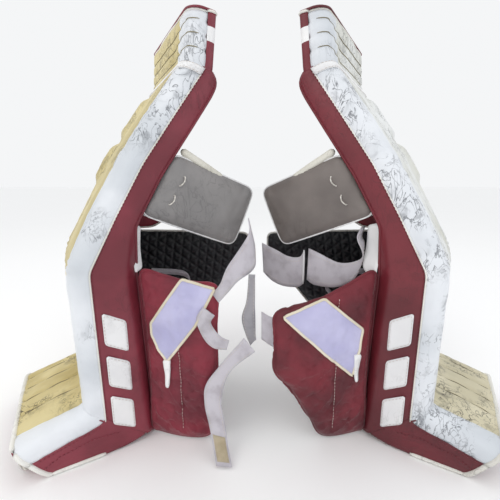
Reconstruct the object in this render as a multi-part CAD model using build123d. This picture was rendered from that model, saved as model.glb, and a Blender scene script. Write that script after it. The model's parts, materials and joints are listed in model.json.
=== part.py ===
"""A pair of ice-hockey goalie leg pads, stood on their boots with the knee blocks touching.

Each pad is drawn in its own frame: X runs forward from the leg to the shooting face, Y from the
medial (inner) side to the lateral (outer) side, and Z up from the floor. The two pads are mirror
images about the centre plane. The right-leg pad stands at -X and the left-leg pad at +X.
"""

from build123d import *

import os
from math import cos, radians, sin, tan

# ------------------------------------------------------------ driving dimensions, mm and degrees
PAD_WIDTH = 280.0  # across the shooting face
PAD_YAW = 30.0  # how far each pad is turned about the vertical
PAD_SPREAD = 280.0  # centre plane to the ankle seam

ANKLE_HEIGHT = 69.0  # floor to the seam at the ankle break
BOOT_LENGTH = 125.0
BOOT_LEAN = 74.3  # each lean is measured back from the vertical
SHIN_LENGTH = 283.0
SHIN_LEAN = 0.0
THIGH_LENGTH = 408.0
THIGH_LEANS = (28.0, 29.5, 35.0, 35.5)  # from the knee up to the thigh break
RISE_LENGTH = 88.0
RISE_LEAN = 5.6

ROLL = 33.0  # how far the shooting face stands forward of the side seam
ROLL_RADIUS = 28.0
ROLL_STEPS = 3
RISE_DEPTH = 13.0  # each depth is from the side seam to the back
THIGH_DEPTH = 33.0
KNEE_DEPTH = 58.0
ANKLE_DEPTH = 90.0
SHIN_LIP = 22.0  # how far the two ridges of the leg channel stand behind the back
THIGH_LIP = 3.0
RIDGE_WIDTH = 38.0
SKIN = 2.5  # cover thickness

BREAK_GAP = 4.0  # soft gap that lets the thigh rise flex
ANKLE_GAP = 7.0  # soft gap that lets the boot flex
BAND_WIDTH = 13.0  # of the raised band below the thigh break
BAND_PROUD = 3.0
CLEARANCE = 1.0  # between pieces that move past each other

SOLE_HEEL = (-32.0, 4.0)  # lowest point behind the ankle seam: forward of the seam, and up
SOLE_START = 36.0  # forward of the ankle seam, where the sole meets the floor
HEEL_SEAM = 34.0  # along the boot seam, the section that stands over each sole point
SOLE_SEAM = 80.0
TOE_SOLE_BACK = 29.0  # how far the sole ends behind the toe of the seam
TOE_CAP = 3.0
TOE_CAP_LEAN = 90.0  # the cap is drawn straight forward, level with the floor
RISE_CAP = 3.0

BAR_COUNT = 3
BAR_WIDTH = 38.0
BAR_HEIGHT = 60.0
BAR_PITCH = 80.0
BAR_SLANT = 22.0  # how far each bar drops toward the back
BAR_THICKNESS = 0.8
BAR_SETBACK = 12.0  # behind the seam
BAR_FOOT = -8.0  # above the ankle

BLOCK_START = 128.0  # up the thigh from the knee to the foot of the knee block
BLOCK_LENGTH = 124.0
BLOCK_REACH = 171.0
BLOCK_FLARE = 16.0  # how much further the lower edge reaches
BLOCK_LIFT = 30.0  # how much further up the thigh the free edge stands
BLOCK_THICKNESS = 62.0
BLOCK_CORNER = 20.0
TUBE_RADIUS = 8.0
TUBE_LENGTH = 92.0
TUBE_INSET = 12.0  # across the pad, from the medial side to the tube's centre
LACE_RADIUS = 1.2
LACE_LENGTH = 18.0
LACE_PLACES = (0.3, 0.62)  # shares of the block's length
LACE_INSET = 20.0

WRAP_FOLD = 94.0  # fold line of the calf wrap, behind the ankle seam
WRAP_OPEN = 35.0  # how far the calf wrap hangs open toward the medial side
WRAP_THICKNESS = 12.0
WRAP_REACH = {"right": 126.0, "left": 168.0}
WRAP_BOTTOM = 12.0
WRAP_TOP = 342.0
WRAP_REAR_TOP = {"right": 318.0, "left": 264.0}
WRAP_CUT = {"right": (24.0, 42.0), "left": (92.0, 140.0)}  # forward and up, the cut lower corner
WRAP_FILLET = 16.0
PATCH_THICKNESS = 2.5
TAB_THICKNESS = 2.0
TAB_SIZE = (14.0, 56.0)

WING_FOLD = 104.0  # fold lines of both wings, behind the ankle seam
WING_CURL = 25.0  # how far the calf wing curls in behind the leg
WING_INSET = 42.0  # from the lateral side of the pad
WING_THICKNESS = 14.0
WING_REACH = 285.0
WING_TOP = 388.0
WING_REAR_TOP = 378.0
WING_REAR_FOOT = 330.0
WING_CUT = (150.0, 100.0)  # reach and height of the lower rear corner
WING_BOTTOM = 62.0
LINING = 4.0
KNEE_WING_INSET = 18.0
KNEE_WING_THICKNESS = 11.0
KNEE_WING_REACH = 112.0
KNEE_WING_HEIGHT = 70.0
KNEE_WING_SLANT = 34.0  # how far its front edge leans back with the thigh
KNEE_WING_TIP = 12.0  # how far its rear edge comes to a point

STRAP_THICKNESS = 2.0
TIE_DIAMETER = 7.0
ARC_SHARE = 0.45  # share of the shorter run that each bend of the toe tie takes

SIDES = {"right": -1, "left": 1}


# ------------------------------------------------------------ the pad's side profile
def along(point, length, lean):
    """The point that lies up a face of that lean, as (x, z)."""
    return point[0] - length * sin(radians(lean)), point[1] + length * cos(radians(lean))


class Station:
    """A cross-section of the pad on the plane through a seam point."""

    def __init__(self, seam, lean, turn, depth, lip):
        self.seam = seam
        self.lean = lean
        self.roll = ROLL / cos(radians(turn))
        self.depth = depth
        self.lip = lip

    def at(self, d, w):
        """The point d forward of the seam and w across the pad."""
        x = self.seam[0] + d * cos(radians(self.lean))
        z = self.seam[1] + d * sin(radians(self.lean))
        return Vector(x, w, z)

    def moved(self, length, lean):
        """The same section, further along a run."""
        copy = Station(along(self.seam, length, lean), self.lean, 0, self.depth, self.lip)
        copy.roll = self.roll
        return copy


ANKLE = (PAD_SPREAD, ANKLE_HEIGHT)
KNEE = along(ANKLE, SHIN_LENGTH, SHIN_LEAN)
TOE = along(ANKLE, -BOOT_LENGTH, BOOT_LEAN)


def bend(seam, below, above, depth, lip):
    """The section on the plane that halves the angle between two runs."""
    return Station(seam, (below + above) / 2, (below - above) / 2, depth, lip)


def main_stations():
    """Sections from the ankle up to the thigh break."""
    leans = (SHIN_LEAN,) + THIGH_LEANS + (RISE_LEAN,)
    stations = [
        bend(ANKLE, BOOT_LEAN, SHIN_LEAN, ANKLE_DEPTH, SHIN_LIP),
        bend(KNEE, SHIN_LEAN, THIGH_LEANS[0], KNEE_DEPTH, SHIN_LIP),
    ]
    seam = KNEE
    for lean, following in zip(leans[1:], leans[2:]):
        seam = along(seam, THIGH_LENGTH / len(THIGH_LEANS), lean)
        stations.append(bend(seam, lean, following, THIGH_DEPTH, THIGH_LIP))
    return stations


def rise_stations():
    """Sections of the thigh rise, from just above the break to its tip."""
    foot = main_stations()[-1].moved(BREAK_GAP, RISE_LEAN)
    foot.depth = RISE_DEPTH
    tip = Station(along(foot.seam, RISE_LENGTH, RISE_LEAN), RISE_LEAN, 0, RISE_DEPTH, THIGH_LIP)
    return [foot, tip]


def boot_section(distance, sole):
    """A boot section from a point on the seam straight to a point on the sole."""
    seam = along(ANKLE, -distance, BOOT_LEAN)
    line = Vector(seam[0] - sole[0], seam[1] - sole[1])
    lean = Vector(1, 0).get_signed_angle(line, Vector(0, 0, 1))
    return Station(seam, lean, BOOT_LEAN - lean, line.length, 0)


def boot_stations():
    """Sections of the boot, from just below the ankle break to the toe."""
    ankle = main_stations()[0].moved(-ANKLE_GAP, BOOT_LEAN)
    heel = boot_section(HEEL_SEAM, (ANKLE[0] + SOLE_HEEL[0], SOLE_HEEL[1]))
    start = boot_section(SOLE_SEAM, (ANKLE[0] + SOLE_START, 0))
    toe = boot_section(BOOT_LENGTH, (TOE[0] - TOE_SOLE_BACK, 0))
    return [ankle, heel, start, toe]


# ------------------------------------------------------------ cross-sections and covers
def face_outline(station):
    """Section points from the medial seam, round the shooting face, to the lateral seam."""
    arc = []
    for i in range(ROLL_STEPS + 1):
        turn = radians(90 * i / ROLL_STEPS)
        forward = station.roll - ROLL_RADIUS + ROLL_RADIUS * sin(turn)
        arc.append((forward, ROLL_RADIUS - ROLL_RADIUS * cos(turn)))
    far = [(d, PAD_WIDTH - w) for d, w in reversed(arc)]
    return [(0, 0)] + arc + far + [(0, PAD_WIDTH)]


def back_outline(station, channel):
    """Section points from the lateral side, across the back, to the medial side."""
    back, lip = -station.depth, station.lip
    if not channel:
        return [(back, PAD_WIDTH), (back, 0)]
    near = [(back, 0), (back - lip, lip), (back - lip, lip + RIDGE_WIDTH)]
    near.append((back, 2 * lip + RIDGE_WIDTH))
    return [(d, PAD_WIDTH - w) for d, w in near] + near[::-1]


def inset(points, gap):
    """A closed outline moved inward by a gap, with its corners kept sharp."""
    moved = []
    for i, (x, y) in enumerate(points):
        before = Vector(x - points[i - 1][0], y - points[i - 1][1]).normalized()
        ahead = points[(i + 1) % len(points)]
        after = Vector(ahead[0] - x, ahead[1] - y).normalized()
        normal = Vector(-before.Y - after.Y, before.X + after.X)
        shift = normal * (gap / (1 + before.dot(after)))
        moved.append((x + shift.X, y + shift.Y))
    return moved


def through(stations, section):
    """A solid that runs straight from each section to the next."""
    wires = []
    for station in stations:
        corners = [station.at(d, w) for d, w in section(station)]
        wires.append(Wire.make_polygon(corners, close=True))
    return Solid.make_loft(wires, ruled=True)


def strip(stations, channel, first, last, proud=0.0, thickness=SKIN):
    """The part of the cover between two points of the section, counted from the medial seam."""

    def section(station):
        whole = face_outline(station) + back_outline(station, channel)
        outer = inset(whole, -proud)
        inner = inset(whole, thickness - proud)
        picks = [i % len(whole) for i in range(first, last + 1)]
        return [outer[i] for i in picks] + [inner[i] for i in reversed(picks)]

    return through(stations, section)


def core(stations, channel):
    """The foam inside the cover."""
    return through(stations, lambda s: inset(face_outline(s) + back_outline(s, channel), SKIN))


def cap(station, thickness, lean, channel):
    """A plate over the end of a pad section."""
    ends = [station, station.moved(thickness, lean)]
    return through(ends, lambda s: face_outline(s) + back_outline(s, channel))


LATERAL_SEAM = 2 * ROLL_STEPS + 3  # the count of the last point of face_outline
LATERAL_LIP = LATERAL_SEAM + 2
MEDIAL_LIP = LATERAL_SEAM + 7
CHANNEL_POINTS = LATERAL_SEAM + 9
PLAIN_BACK = LATERAL_SEAM + 1
PLAIN_POINTS = LATERAL_SEAM + 3


# ------------------------------------------------------------ flat pieces, straps and cords
def side_slab(points, near, far, fillets=0.0):
    """A plate of that side outline, between two distances across the pad."""
    face = make_face(Polyline([Vector(x, z) for x, z in points], close=True))
    if fillets:
        face = fillet(face.vertices(), fillets)
    return extrude(Plane.XZ.offset(-near) * face, near - far).solid()


def ribbon(edges):
    """A webbing strap through pairs of edge points, each an (x, y, z)."""
    pairs = [(Vector(*a), Vector(*b)) for a, b in edges]
    middles = [(a + b) * 0.5 for a, b in pairs]
    wires = []
    for i, (a, b) in enumerate(pairs):
        run = middles[min(i + 1, len(pairs) - 1)] - middles[max(i - 1, 0)]
        lift = run.cross(b - a).normalized() * (STRAP_THICKNESS / 2)
        wires.append(Wire.make_polygon([a + lift, b + lift, b - lift, a - lift], close=True))
    return Solid.make_loft(wires, ruled=True)


def bend_radii(points):
    """The radius of each bend of a cord, as large as its two runs allow."""
    corners = [Vector(*p) for p in points]
    radii = []
    for a, b, c in zip(corners, corners[1:], corners[2:]):
        turn = (b - a).get_angle(c - b)
        shorter = min((b - a).length, (c - b).length)
        radii.append(ARC_SHARE * shorter / tan(radians(turn / 2)))
    return radii


def cord(points, diameter):
    """A round cord along straight runs joined by arcs."""
    radii = bend_radii(points)
    print("cord bend radii", [round(r, 1) for r in radii])
    path = FilletPolyline(*points, radius=radii)
    start = Plane(origin=path @ 0, z_dir=path % 0)
    return sweep(start * Circle(diameter / 2), path=path).solid()


# ------------------------------------------------------------ sub-assemblies of one pad
def shin_and_thigh():
    """The fixed body: foam, shooting face, side panels, channel liner and the break band."""
    stations = main_stations()
    top = stations[-1]
    band = [top.moved(-BAND_WIDTH, THIGH_LEANS[-1]), top]
    return {
        "main_core": core(stations, True),
        "main_face": strip(stations, True, 0, LATERAL_SEAM),
        "lateral_gusset": strip(stations, True, LATERAL_SEAM, LATERAL_LIP),
        "channel_liner": strip(stations, True, LATERAL_LIP, MEDIAL_LIP),
        "medial_gusset": strip(stations, True, MEDIAL_LIP, CHANNEL_POINTS),
        "break_band": strip(band, True, 0, LATERAL_SEAM, BAND_PROUD, BAND_PROUD),
        "side_bars": Compound(side_bars()),
    }


def side_bars():
    """Plain slanted bars sewn to the medial side panel, above the ankle."""
    bars = []
    front = ANKLE[0] - BAR_SETBACK
    for i in range(BAR_COUNT):
        foot = ANKLE_HEIGHT + BAR_FOOT + i * BAR_PITCH
        rear = front - BAR_WIDTH
        outline = [(front, foot), (front, foot + BAR_HEIGHT)]
        outline += [(rear, foot + BAR_HEIGHT - BAR_SLANT), (rear, foot - BAR_SLANT)]
        bars.append(side_slab(outline, -BAR_THICKNESS, 0))
    return bars


def thigh_rise():
    """The flap above the thigh break."""
    stations = rise_stations()
    sides = [
        strip(stations, True, LATERAL_SEAM, LATERAL_LIP),
        strip(stations, True, LATERAL_LIP, MEDIAL_LIP),
        strip(stations, True, MEDIAL_LIP, CHANNEL_POINTS),
        cap(stations[-1], RISE_CAP, RISE_LEAN, True),
    ]
    return {
        "rise_core": core(stations, True),
        "rise_face": strip(stations, True, 0, LATERAL_SEAM),
        "rise_binding": Compound(sides),
    }


def boot():
    """The boot that stands on the skate and carries the pad."""
    stations = boot_stations()
    sides = [
        strip(stations, False, LATERAL_SEAM, PLAIN_BACK),
        strip(stations, False, PLAIN_BACK + 1, PLAIN_POINTS),
    ]
    return {
        "boot_core": core(stations, False),
        "boot_face": strip(stations, False, 0, LATERAL_SEAM),
        "boot_gussets": Compound(sides),
        "boot_sole": strip(stations, False, PLAIN_BACK, PLAIN_BACK + 1),
        "toe_cap": cap(stations[-1], -TOE_CAP, TOE_CAP_LEAN, False),
    }


def thigh_back(distance, off):
    """A point up the back of the thigh from the knee, standing off it."""
    stations = main_stations()[1:]
    run = THIGH_LENGTH / len(THIGH_LEANS)
    index = min(int(distance // run), len(THIGH_LEANS) - 1)
    seam = along(stations[index].seam, distance - index * run, THIGH_LEANS[index])
    lean = radians(THIGH_LEANS[index])
    back = THIGH_DEPTH + THIGH_LIP + off
    return seam[0] - back * cos(lean), seam[1] - back * sin(lean)


def block_outline():
    """Corners of the knee block: foot and head on the thigh, then the free edge."""
    foot = Vector(*thigh_back(BLOCK_START, CLEARANCE))
    head = Vector(*thigh_back(BLOCK_START + BLOCK_LENGTH, CLEARANCE))
    up = (head - foot).normalized()
    out = Vector(-up.Y, up.X)
    free_head = head + out * BLOCK_REACH + up * BLOCK_LIFT
    free_foot = foot + out * (BLOCK_REACH + BLOCK_FLARE) + up * BLOCK_LIFT
    return foot, head, free_head, free_foot


def rod(start, end, radius):
    """A round bar between two points."""
    run = end - start
    return Solid.make_cylinder(radius, run.length, Plane(origin=start, z_dir=run))


def knee_block():
    """The landing block behind the thigh, with its grey skin toward the medial side."""
    foot, head, free_head, free_foot = block_outline()
    whole = make_face(Polyline([foot, head, free_head, free_foot], close=True))
    free = whole.vertices().sort_by_distance(foot)[-1:] + whole.vertices().sort_by_distance(head)[-1:]
    whole = fillet(free, BLOCK_CORNER)
    inner = offset(whole, -SKIN, kind=Kind.INTERSECTION)

    def slab(face, near, far):
        return extrude(Plane.XZ.offset(-near) * face, near - far).solid()

    out = (free_head - head).normalized()
    rise = Vector(-out.Y, out.X) * -(TUBE_RADIUS + CLEARANCE / 2)
    tube = [head + rise + out * TUBE_RADIUS, head + rise + out * (TUBE_RADIUS + TUBE_LENGTH)]
    tube = [Vector(p.X, TUBE_INSET, p.Y) for p in tube]
    laces = []
    for share in LACE_PLACES:
        middle = head + (foot - head) * share + out * LACE_INSET
        half = (foot - head).normalized() * (LACE_LENGTH / 2)
        ends = [Vector(p.X, -LACE_RADIUS, p.Y) for p in (middle - half, middle + half)]
        laces.append(rod(*ends, LACE_RADIUS))
    return {
        "block_core": slab(inner, SKIN, BLOCK_THICKNESS - SKIN),
        "block_face": slab(inner, 0, SKIN),
        "block_gusset": slab(whole, 0, BLOCK_THICKNESS) - slab(inner, 0, BLOCK_THICKNESS - SKIN),
        "block_tube": rod(*tube, TUBE_RADIUS),
        "block_laces": Compound(laces),
    }


def swung(pieces, back, across, turn):
    """Pieces turned about an upright fold line behind the ankle seam."""
    fold = Pos(ANKLE[0] - back, across, 0)
    place = fold * Rot(0, 0, turn) * fold.inverse()
    return {name: place * shape for name, shape in pieces.items()}


# Corners of each hook-and-loop patch and the top of each tab, on the closed wrap.
PATCHES = {
    "right": [(120, 334), (63, 316), (98, 248), (155, 174), (184, 222), (184, 246)],
    "left": [(32, 262), (105, 298), (181, 235), (165, 142)],
}
TAB_PLACES = {"right": (162, 178), "left": (178, 188)}


def calf_wrap(side):
    """The closed medial calf wrap, with its hook-and-loop patch and its leather tab."""
    front = ANKLE[0] - WRAP_FOLD
    rear = front - WRAP_REACH[side]
    cut = WRAP_CUT[side]
    outline = [(front, WRAP_BOTTOM), (front, WRAP_TOP), (rear, WRAP_REAR_TOP[side])]
    outline += [(rear, WRAP_BOTTOM + cut[1]), (rear + cut[0], WRAP_BOTTOM)]
    width, drop = TAB_SIZE
    x, z = TAB_PLACES[side]
    near = -PATCH_THICKNESS
    tab = [(x, z), (x - width, z), (x - width / 2, z - drop)]
    return {
        "calf_wrap": side_slab(outline, 0, WRAP_THICKNESS, WRAP_FILLET),
        "loop_patch": side_slab(PATCHES[side], near, 0),
        "patch_tab": side_slab(tab, near - TAB_THICKNESS, near),
    }


def calf_wing():
    """The straight lateral calf wing and its quilted lining."""
    front = ANKLE[0] - WING_FOLD
    rear = front - WING_REACH
    outline = [(front, WING_BOTTOM), (front, WING_TOP), (rear, WING_REAR_TOP)]
    outline += [(rear, WING_REAR_FOOT), (front - WING_CUT[0], WING_BOTTOM + WING_CUT[1])]
    outline += [(front - WING_CUT[0] / 2, WING_BOTTOM)]
    far = PAD_WIDTH - WING_INSET
    near = far - WING_THICKNESS
    return {
        "calf_wing": side_slab(outline, near, far),
        "wing_lining": side_slab(outline, near - LINING, near),
    }


def knee_wing():
    """The outer knee wing, above the calf wing."""
    front = ANKLE[0] - WING_FOLD
    foot = WING_TOP + 2 * CLEARANCE
    top = foot + KNEE_WING_HEIGHT
    rear = front - KNEE_WING_REACH
    middle = (foot + top) / 2
    outline = [(front, foot), (front - KNEE_WING_SLANT, top), (rear, top)]
    outline += [(rear - KNEE_WING_TIP, middle), (front - KNEE_WING_REACH / 2, foot)]
    far = PAD_WIDTH - KNEE_WING_INSET
    return {"knee_wing": side_slab(outline, far - KNEE_WING_THICKNESS, far)}


# Edge points of each strap as (x, y, z) in its pad's frame, where it was left hanging.
# The straps that the calf wrap carries are given with the wrap closed.
KNEE_BAND = [
    ((9, 60, 435), (-3, 60, 383)),
    ((9, 45, 403), (-4, 45, 344)),
    ((42, 14, 353), (25, 14, 323)),
    ((54, -2, 324), (39, -2, 309)),
    ((68, -8, 307), (56, -8, 290)),
]
KNEE_BAND_FOLD = [
    ((83, -8, 285), (62, -8, 269)),
    ((95, -9, 262), (69, -9, 256)),
    ((83, -10, 226), (60, -10, 239)),
    ((65, -12, 208), (48, -12, 227)),
    ((42, -13, 204), (37, -13, 222)),
]
CALF_STRAP = [
    ((11, -12, 226), (-9, -12, 200)),
    ((55, -16, 173), (37, -16, 159)),
    ((82, -20, 133), (52, -20, 107)),
    ((84, -24, 98), (50, -24, 81)),
    ((75, -34, 59), (43, -34, 51)),
    ((64, -52, 30), (35, -52, 26)),
    ((55, -70, 7), (26, -70, 7)),
]
PADDED_STRAP = [
    ((6, 24, 334), (-6, 24, 334)),
    ((8, 24, 305), (-6, 24, 306)),
    ((11, 22, 280), (-6, 22, 281)),
    ((19, 20, 250), (-7, 20, 252)),
    ((11, 16, 218), (-7, 16, 223)),
    ((2, 12, 199), (-7, 12, 211)),
]
LEFT_KNEE_BAND = [
    ((62, 25, 368), (60, 25, 301)),
    ((81, 22, 363), (80, 22, 293)),
    ((123, 20, 348), (124, 20, 297)),
    ((156, 18, 353), (162, 18, 324)),
    ((171, 22, 366), (171, 34, 384)),
    ((163, 10, 398), (163, 44, 400)),
    ((168, 8, 420), (168, 44, 420)),
]
LEFT_STRAP_END = [
    ((-56, 40, 366), (-52, 40, 298)),
    ((-21, 32, 357), (-25, 32, 283)),
    ((14, 24, 347), (9, 24, 279)),
    ((44, 20, 349), (41, 20, 283)),
    ((55, 18, 365), (55, 18, 293)),
]
# The inner strap lies behind the wrap, so its y is counted from the wrap's back.
INNER_STRAP = [
    ((60, 1.4, 250), (60, 1.4, 188)),
    ((30, 2.5, 252), (30, 2.5, 190)),
    ((12, 8, 254), (12, 8, 196)),
    ((-4, 14, 262), (-4, 14, 206)),
]

# Toe tie: where it leaves and enters the toe cap, as (y, z), and the free points between,
# as (forward of the cap, y, z).
TIE_RUN = 14.0
TOE_TIES = {
    "right": ((138, 24), [(31, 128, 15), (42, 104, 9), (45, 74, 7), (39, 45, 8), (27, 26, 14)], (18, 24)),
    "left": ((170, 24), [(27, 180, 15), (36, 203, 9), (36, 230, 8), (27, 252, 14)], (262, 24)),
}


def toe_tie(side):
    """The loop of braided cord at the toe."""
    toe = boot_stations()[-1]
    out = Vector(sin(radians(toe.lean)), 0, -cos(radians(toe.lean)))
    leave, free, enter = TOE_TIES[side]

    def on_cap(y, z):
        d = (z - toe.seam[1]) / sin(radians(toe.lean))
        return toe.at(d, y) + Vector(TOE_CAP, 0, 0)

    start, end = on_cap(*leave), on_cap(*enter)
    route = [start, start + out * TIE_RUN]
    route += [Vector(on_cap(y, z).X + x, y, z) for x, y, z in free]
    route += [end + out * TIE_RUN, end]
    return route


def wrap_straps(side):
    """The loose straps that hang from the closed calf wrap."""
    if side == "left":
        return {"inner_strap": Pos(0, WRAP_THICKNESS, 0) * ribbon(INNER_STRAP)}
    return {
        "knee_band": Compound([ribbon(KNEE_BAND), ribbon(KNEE_BAND_FOLD)]),
        "calf_strap": ribbon(CALF_STRAP),
        "padded_strap": ribbon(PADDED_STRAP),
    }


def pad_straps(side):
    """The loose straps that hang from the pad itself."""
    if side == "right":
        return {}
    return {"knee_band": ribbon(LEFT_KNEE_BAND), "strap_end": ribbon(LEFT_STRAP_END)}


def pad(side):
    """Every piece of one pad, in the pad's own frame."""
    pieces = shin_and_thigh() | thigh_rise() | boot() | knee_block()
    pieces |= swung(calf_wrap(side) | wrap_straps(side), WRAP_FOLD, 0, WRAP_OPEN)
    pieces |= swung(calf_wing(), WING_FOLD, PAD_WIDTH - WING_INSET, WING_CURL)
    pieces |= knee_wing() | pad_straps(side)
    return pieces | {"toe_tie": cord(toe_tie(side), TIE_DIAMETER)}


def stood(side, shape):
    """A piece turned to where its pad stands, on its own side of the centre plane."""
    ankle = Pos(PAD_SPREAD, 0, 0)
    turned = ankle * Rot(0, 0, -PAD_YAW) * ankle.inverse() * shape
    return turned if SIDES[side] > 0 else mirror(turned, about=Plane.YZ)


def build():
    """Both pads, with the box's middle on the origin across and along the floor."""
    placed = {}
    for side in SIDES:
        for name, shape in pad(side).items():
            placed[f"{side}_{name}"] = stood(side, shape)
    held = [shape for name, shape in placed.items() if not name.endswith("toe_tie")]
    middle = Compound(held).bounding_box().center()
    return {name: Pos(0, -middle.Y, 0) * shape for name, shape in placed.items()}


os.makedirs("parts", exist_ok=True)
for node, shape in build().items():
    export_step(shape, f"parts/{node}.step")
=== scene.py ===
"""Looks for the pair of goalie leg pads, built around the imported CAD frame.

Each pad is shaped in its own frame, in metres: x forward from the leg to the shooting face,
w across from the medial to the lateral side, z up. place() stands it where the CAD pad stands.
"""

import json
import math

import bpy
import numpy as np
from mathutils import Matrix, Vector, noise
from mathutils.geometry import delaunay_2d_cdt


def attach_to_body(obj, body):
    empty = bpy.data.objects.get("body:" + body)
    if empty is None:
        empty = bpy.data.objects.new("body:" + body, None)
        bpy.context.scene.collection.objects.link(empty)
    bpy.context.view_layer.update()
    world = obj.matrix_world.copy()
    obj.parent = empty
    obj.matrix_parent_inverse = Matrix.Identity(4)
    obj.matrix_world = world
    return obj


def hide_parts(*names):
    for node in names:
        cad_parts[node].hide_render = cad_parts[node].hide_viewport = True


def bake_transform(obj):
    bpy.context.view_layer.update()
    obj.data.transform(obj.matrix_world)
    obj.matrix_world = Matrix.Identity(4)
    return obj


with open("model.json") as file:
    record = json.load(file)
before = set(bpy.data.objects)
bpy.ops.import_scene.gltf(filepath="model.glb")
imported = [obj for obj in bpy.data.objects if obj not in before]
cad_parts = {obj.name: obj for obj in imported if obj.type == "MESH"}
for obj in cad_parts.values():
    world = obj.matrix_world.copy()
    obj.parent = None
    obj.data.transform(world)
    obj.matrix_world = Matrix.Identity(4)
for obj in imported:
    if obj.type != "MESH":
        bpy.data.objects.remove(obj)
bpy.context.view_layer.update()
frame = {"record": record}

# ------------------------------------------------------------ sizes shared with the CAD, metres
WIDTH = 0.280
SPREAD = 0.280
YAW = math.radians(30)
ANKLE = np.array([SPREAD, 0.069])
BOOT_RUN, BOOT_LEAN = 0.125, math.radians(74.3)
SHIN_RUN = 0.283
THIGH_RUN, THIGH_LEANS = 0.102, [math.radians(v) for v in (28, 29.5, 35, 35.5)]
RISE_RUN, RISE_LEAN = 0.088, math.radians(5.6)
ROLL, ROLL_RADIUS = 0.033, 0.028
SKIN = 0.0025
BREAK_GAP, ANKLE_GAP = 0.004, 0.007
RIDGE = 0.038
WRAP_FOLD, WRAP_OPEN = 0.094, math.radians(35)
WING_FOLD, WING_CURL = 0.104, math.radians(25)
WING_FAR, WING_THICK = 0.238, 0.014
BLOCK_THICK = 0.062
SIDES = {"right": -1, "left": 1}
MOUNT = {m["name"]: m["pos_m"] for m in frame["record"]["mounts"]}["left_boot_rest"]
REST = np.array([0.345, 0.140])  # that mount in the pad's own frame
MIDDLE = -(REST[0] - SPREAD) * math.sin(YAW) + REST[1] * math.cos(YAW) - MOUNT[1]
SEED = Vector((3.1, 7.7, 1.3))


def place(side, points):
    """Points of a pad's own frame as points of the row frame."""
    p = np.asarray(points, float)
    x, w = p[..., 0] - SPREAD, p[..., 1]
    across = SIDES[side] * (SPREAD + x * math.cos(YAW) + w * math.sin(YAW))
    deep = -x * math.sin(YAW) + w * math.cos(YAW) - MIDDLE
    return np.stack([across, deep, p[..., 2]], -1)


def swing(points, back, across, turn):
    """Points turned about an upright fold line behind the ankle."""
    p = np.array(points, float)
    x, w = p[..., 0] - (SPREAD - back), p[..., 1] - across
    c, s = math.cos(turn), math.sin(turn)
    p[..., 0] = SPREAD - back + x * c - w * s
    p[..., 1] = across + x * s + w * c
    return p


def rough(p, size, octaves=3):
    """Smooth seeded noise, about -1 to 1, at each point."""
    flat = np.asarray(p, float).reshape(-1, 3)
    value = [noise.fractal(Vector(q) / size + SEED, 1.0, 2.0, octaves) for q in flat]
    return np.array(value).reshape(np.asarray(p).shape[:-1])


def dent(distance, width):
    """1 on a line, falling away smoothly to each side."""
    return np.exp(-((distance / width) ** 2))


# ------------------------------------------------------------ materials
def rgb(r, g, b):
    """A linear colour from 0-255 display values."""
    def linear(v):
        v /= 255
        return v / 12.92 if v <= 0.04045 else ((v + 0.055) / 1.055) ** 2.4
    return (linear(r), linear(g), linear(b), 1)


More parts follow.
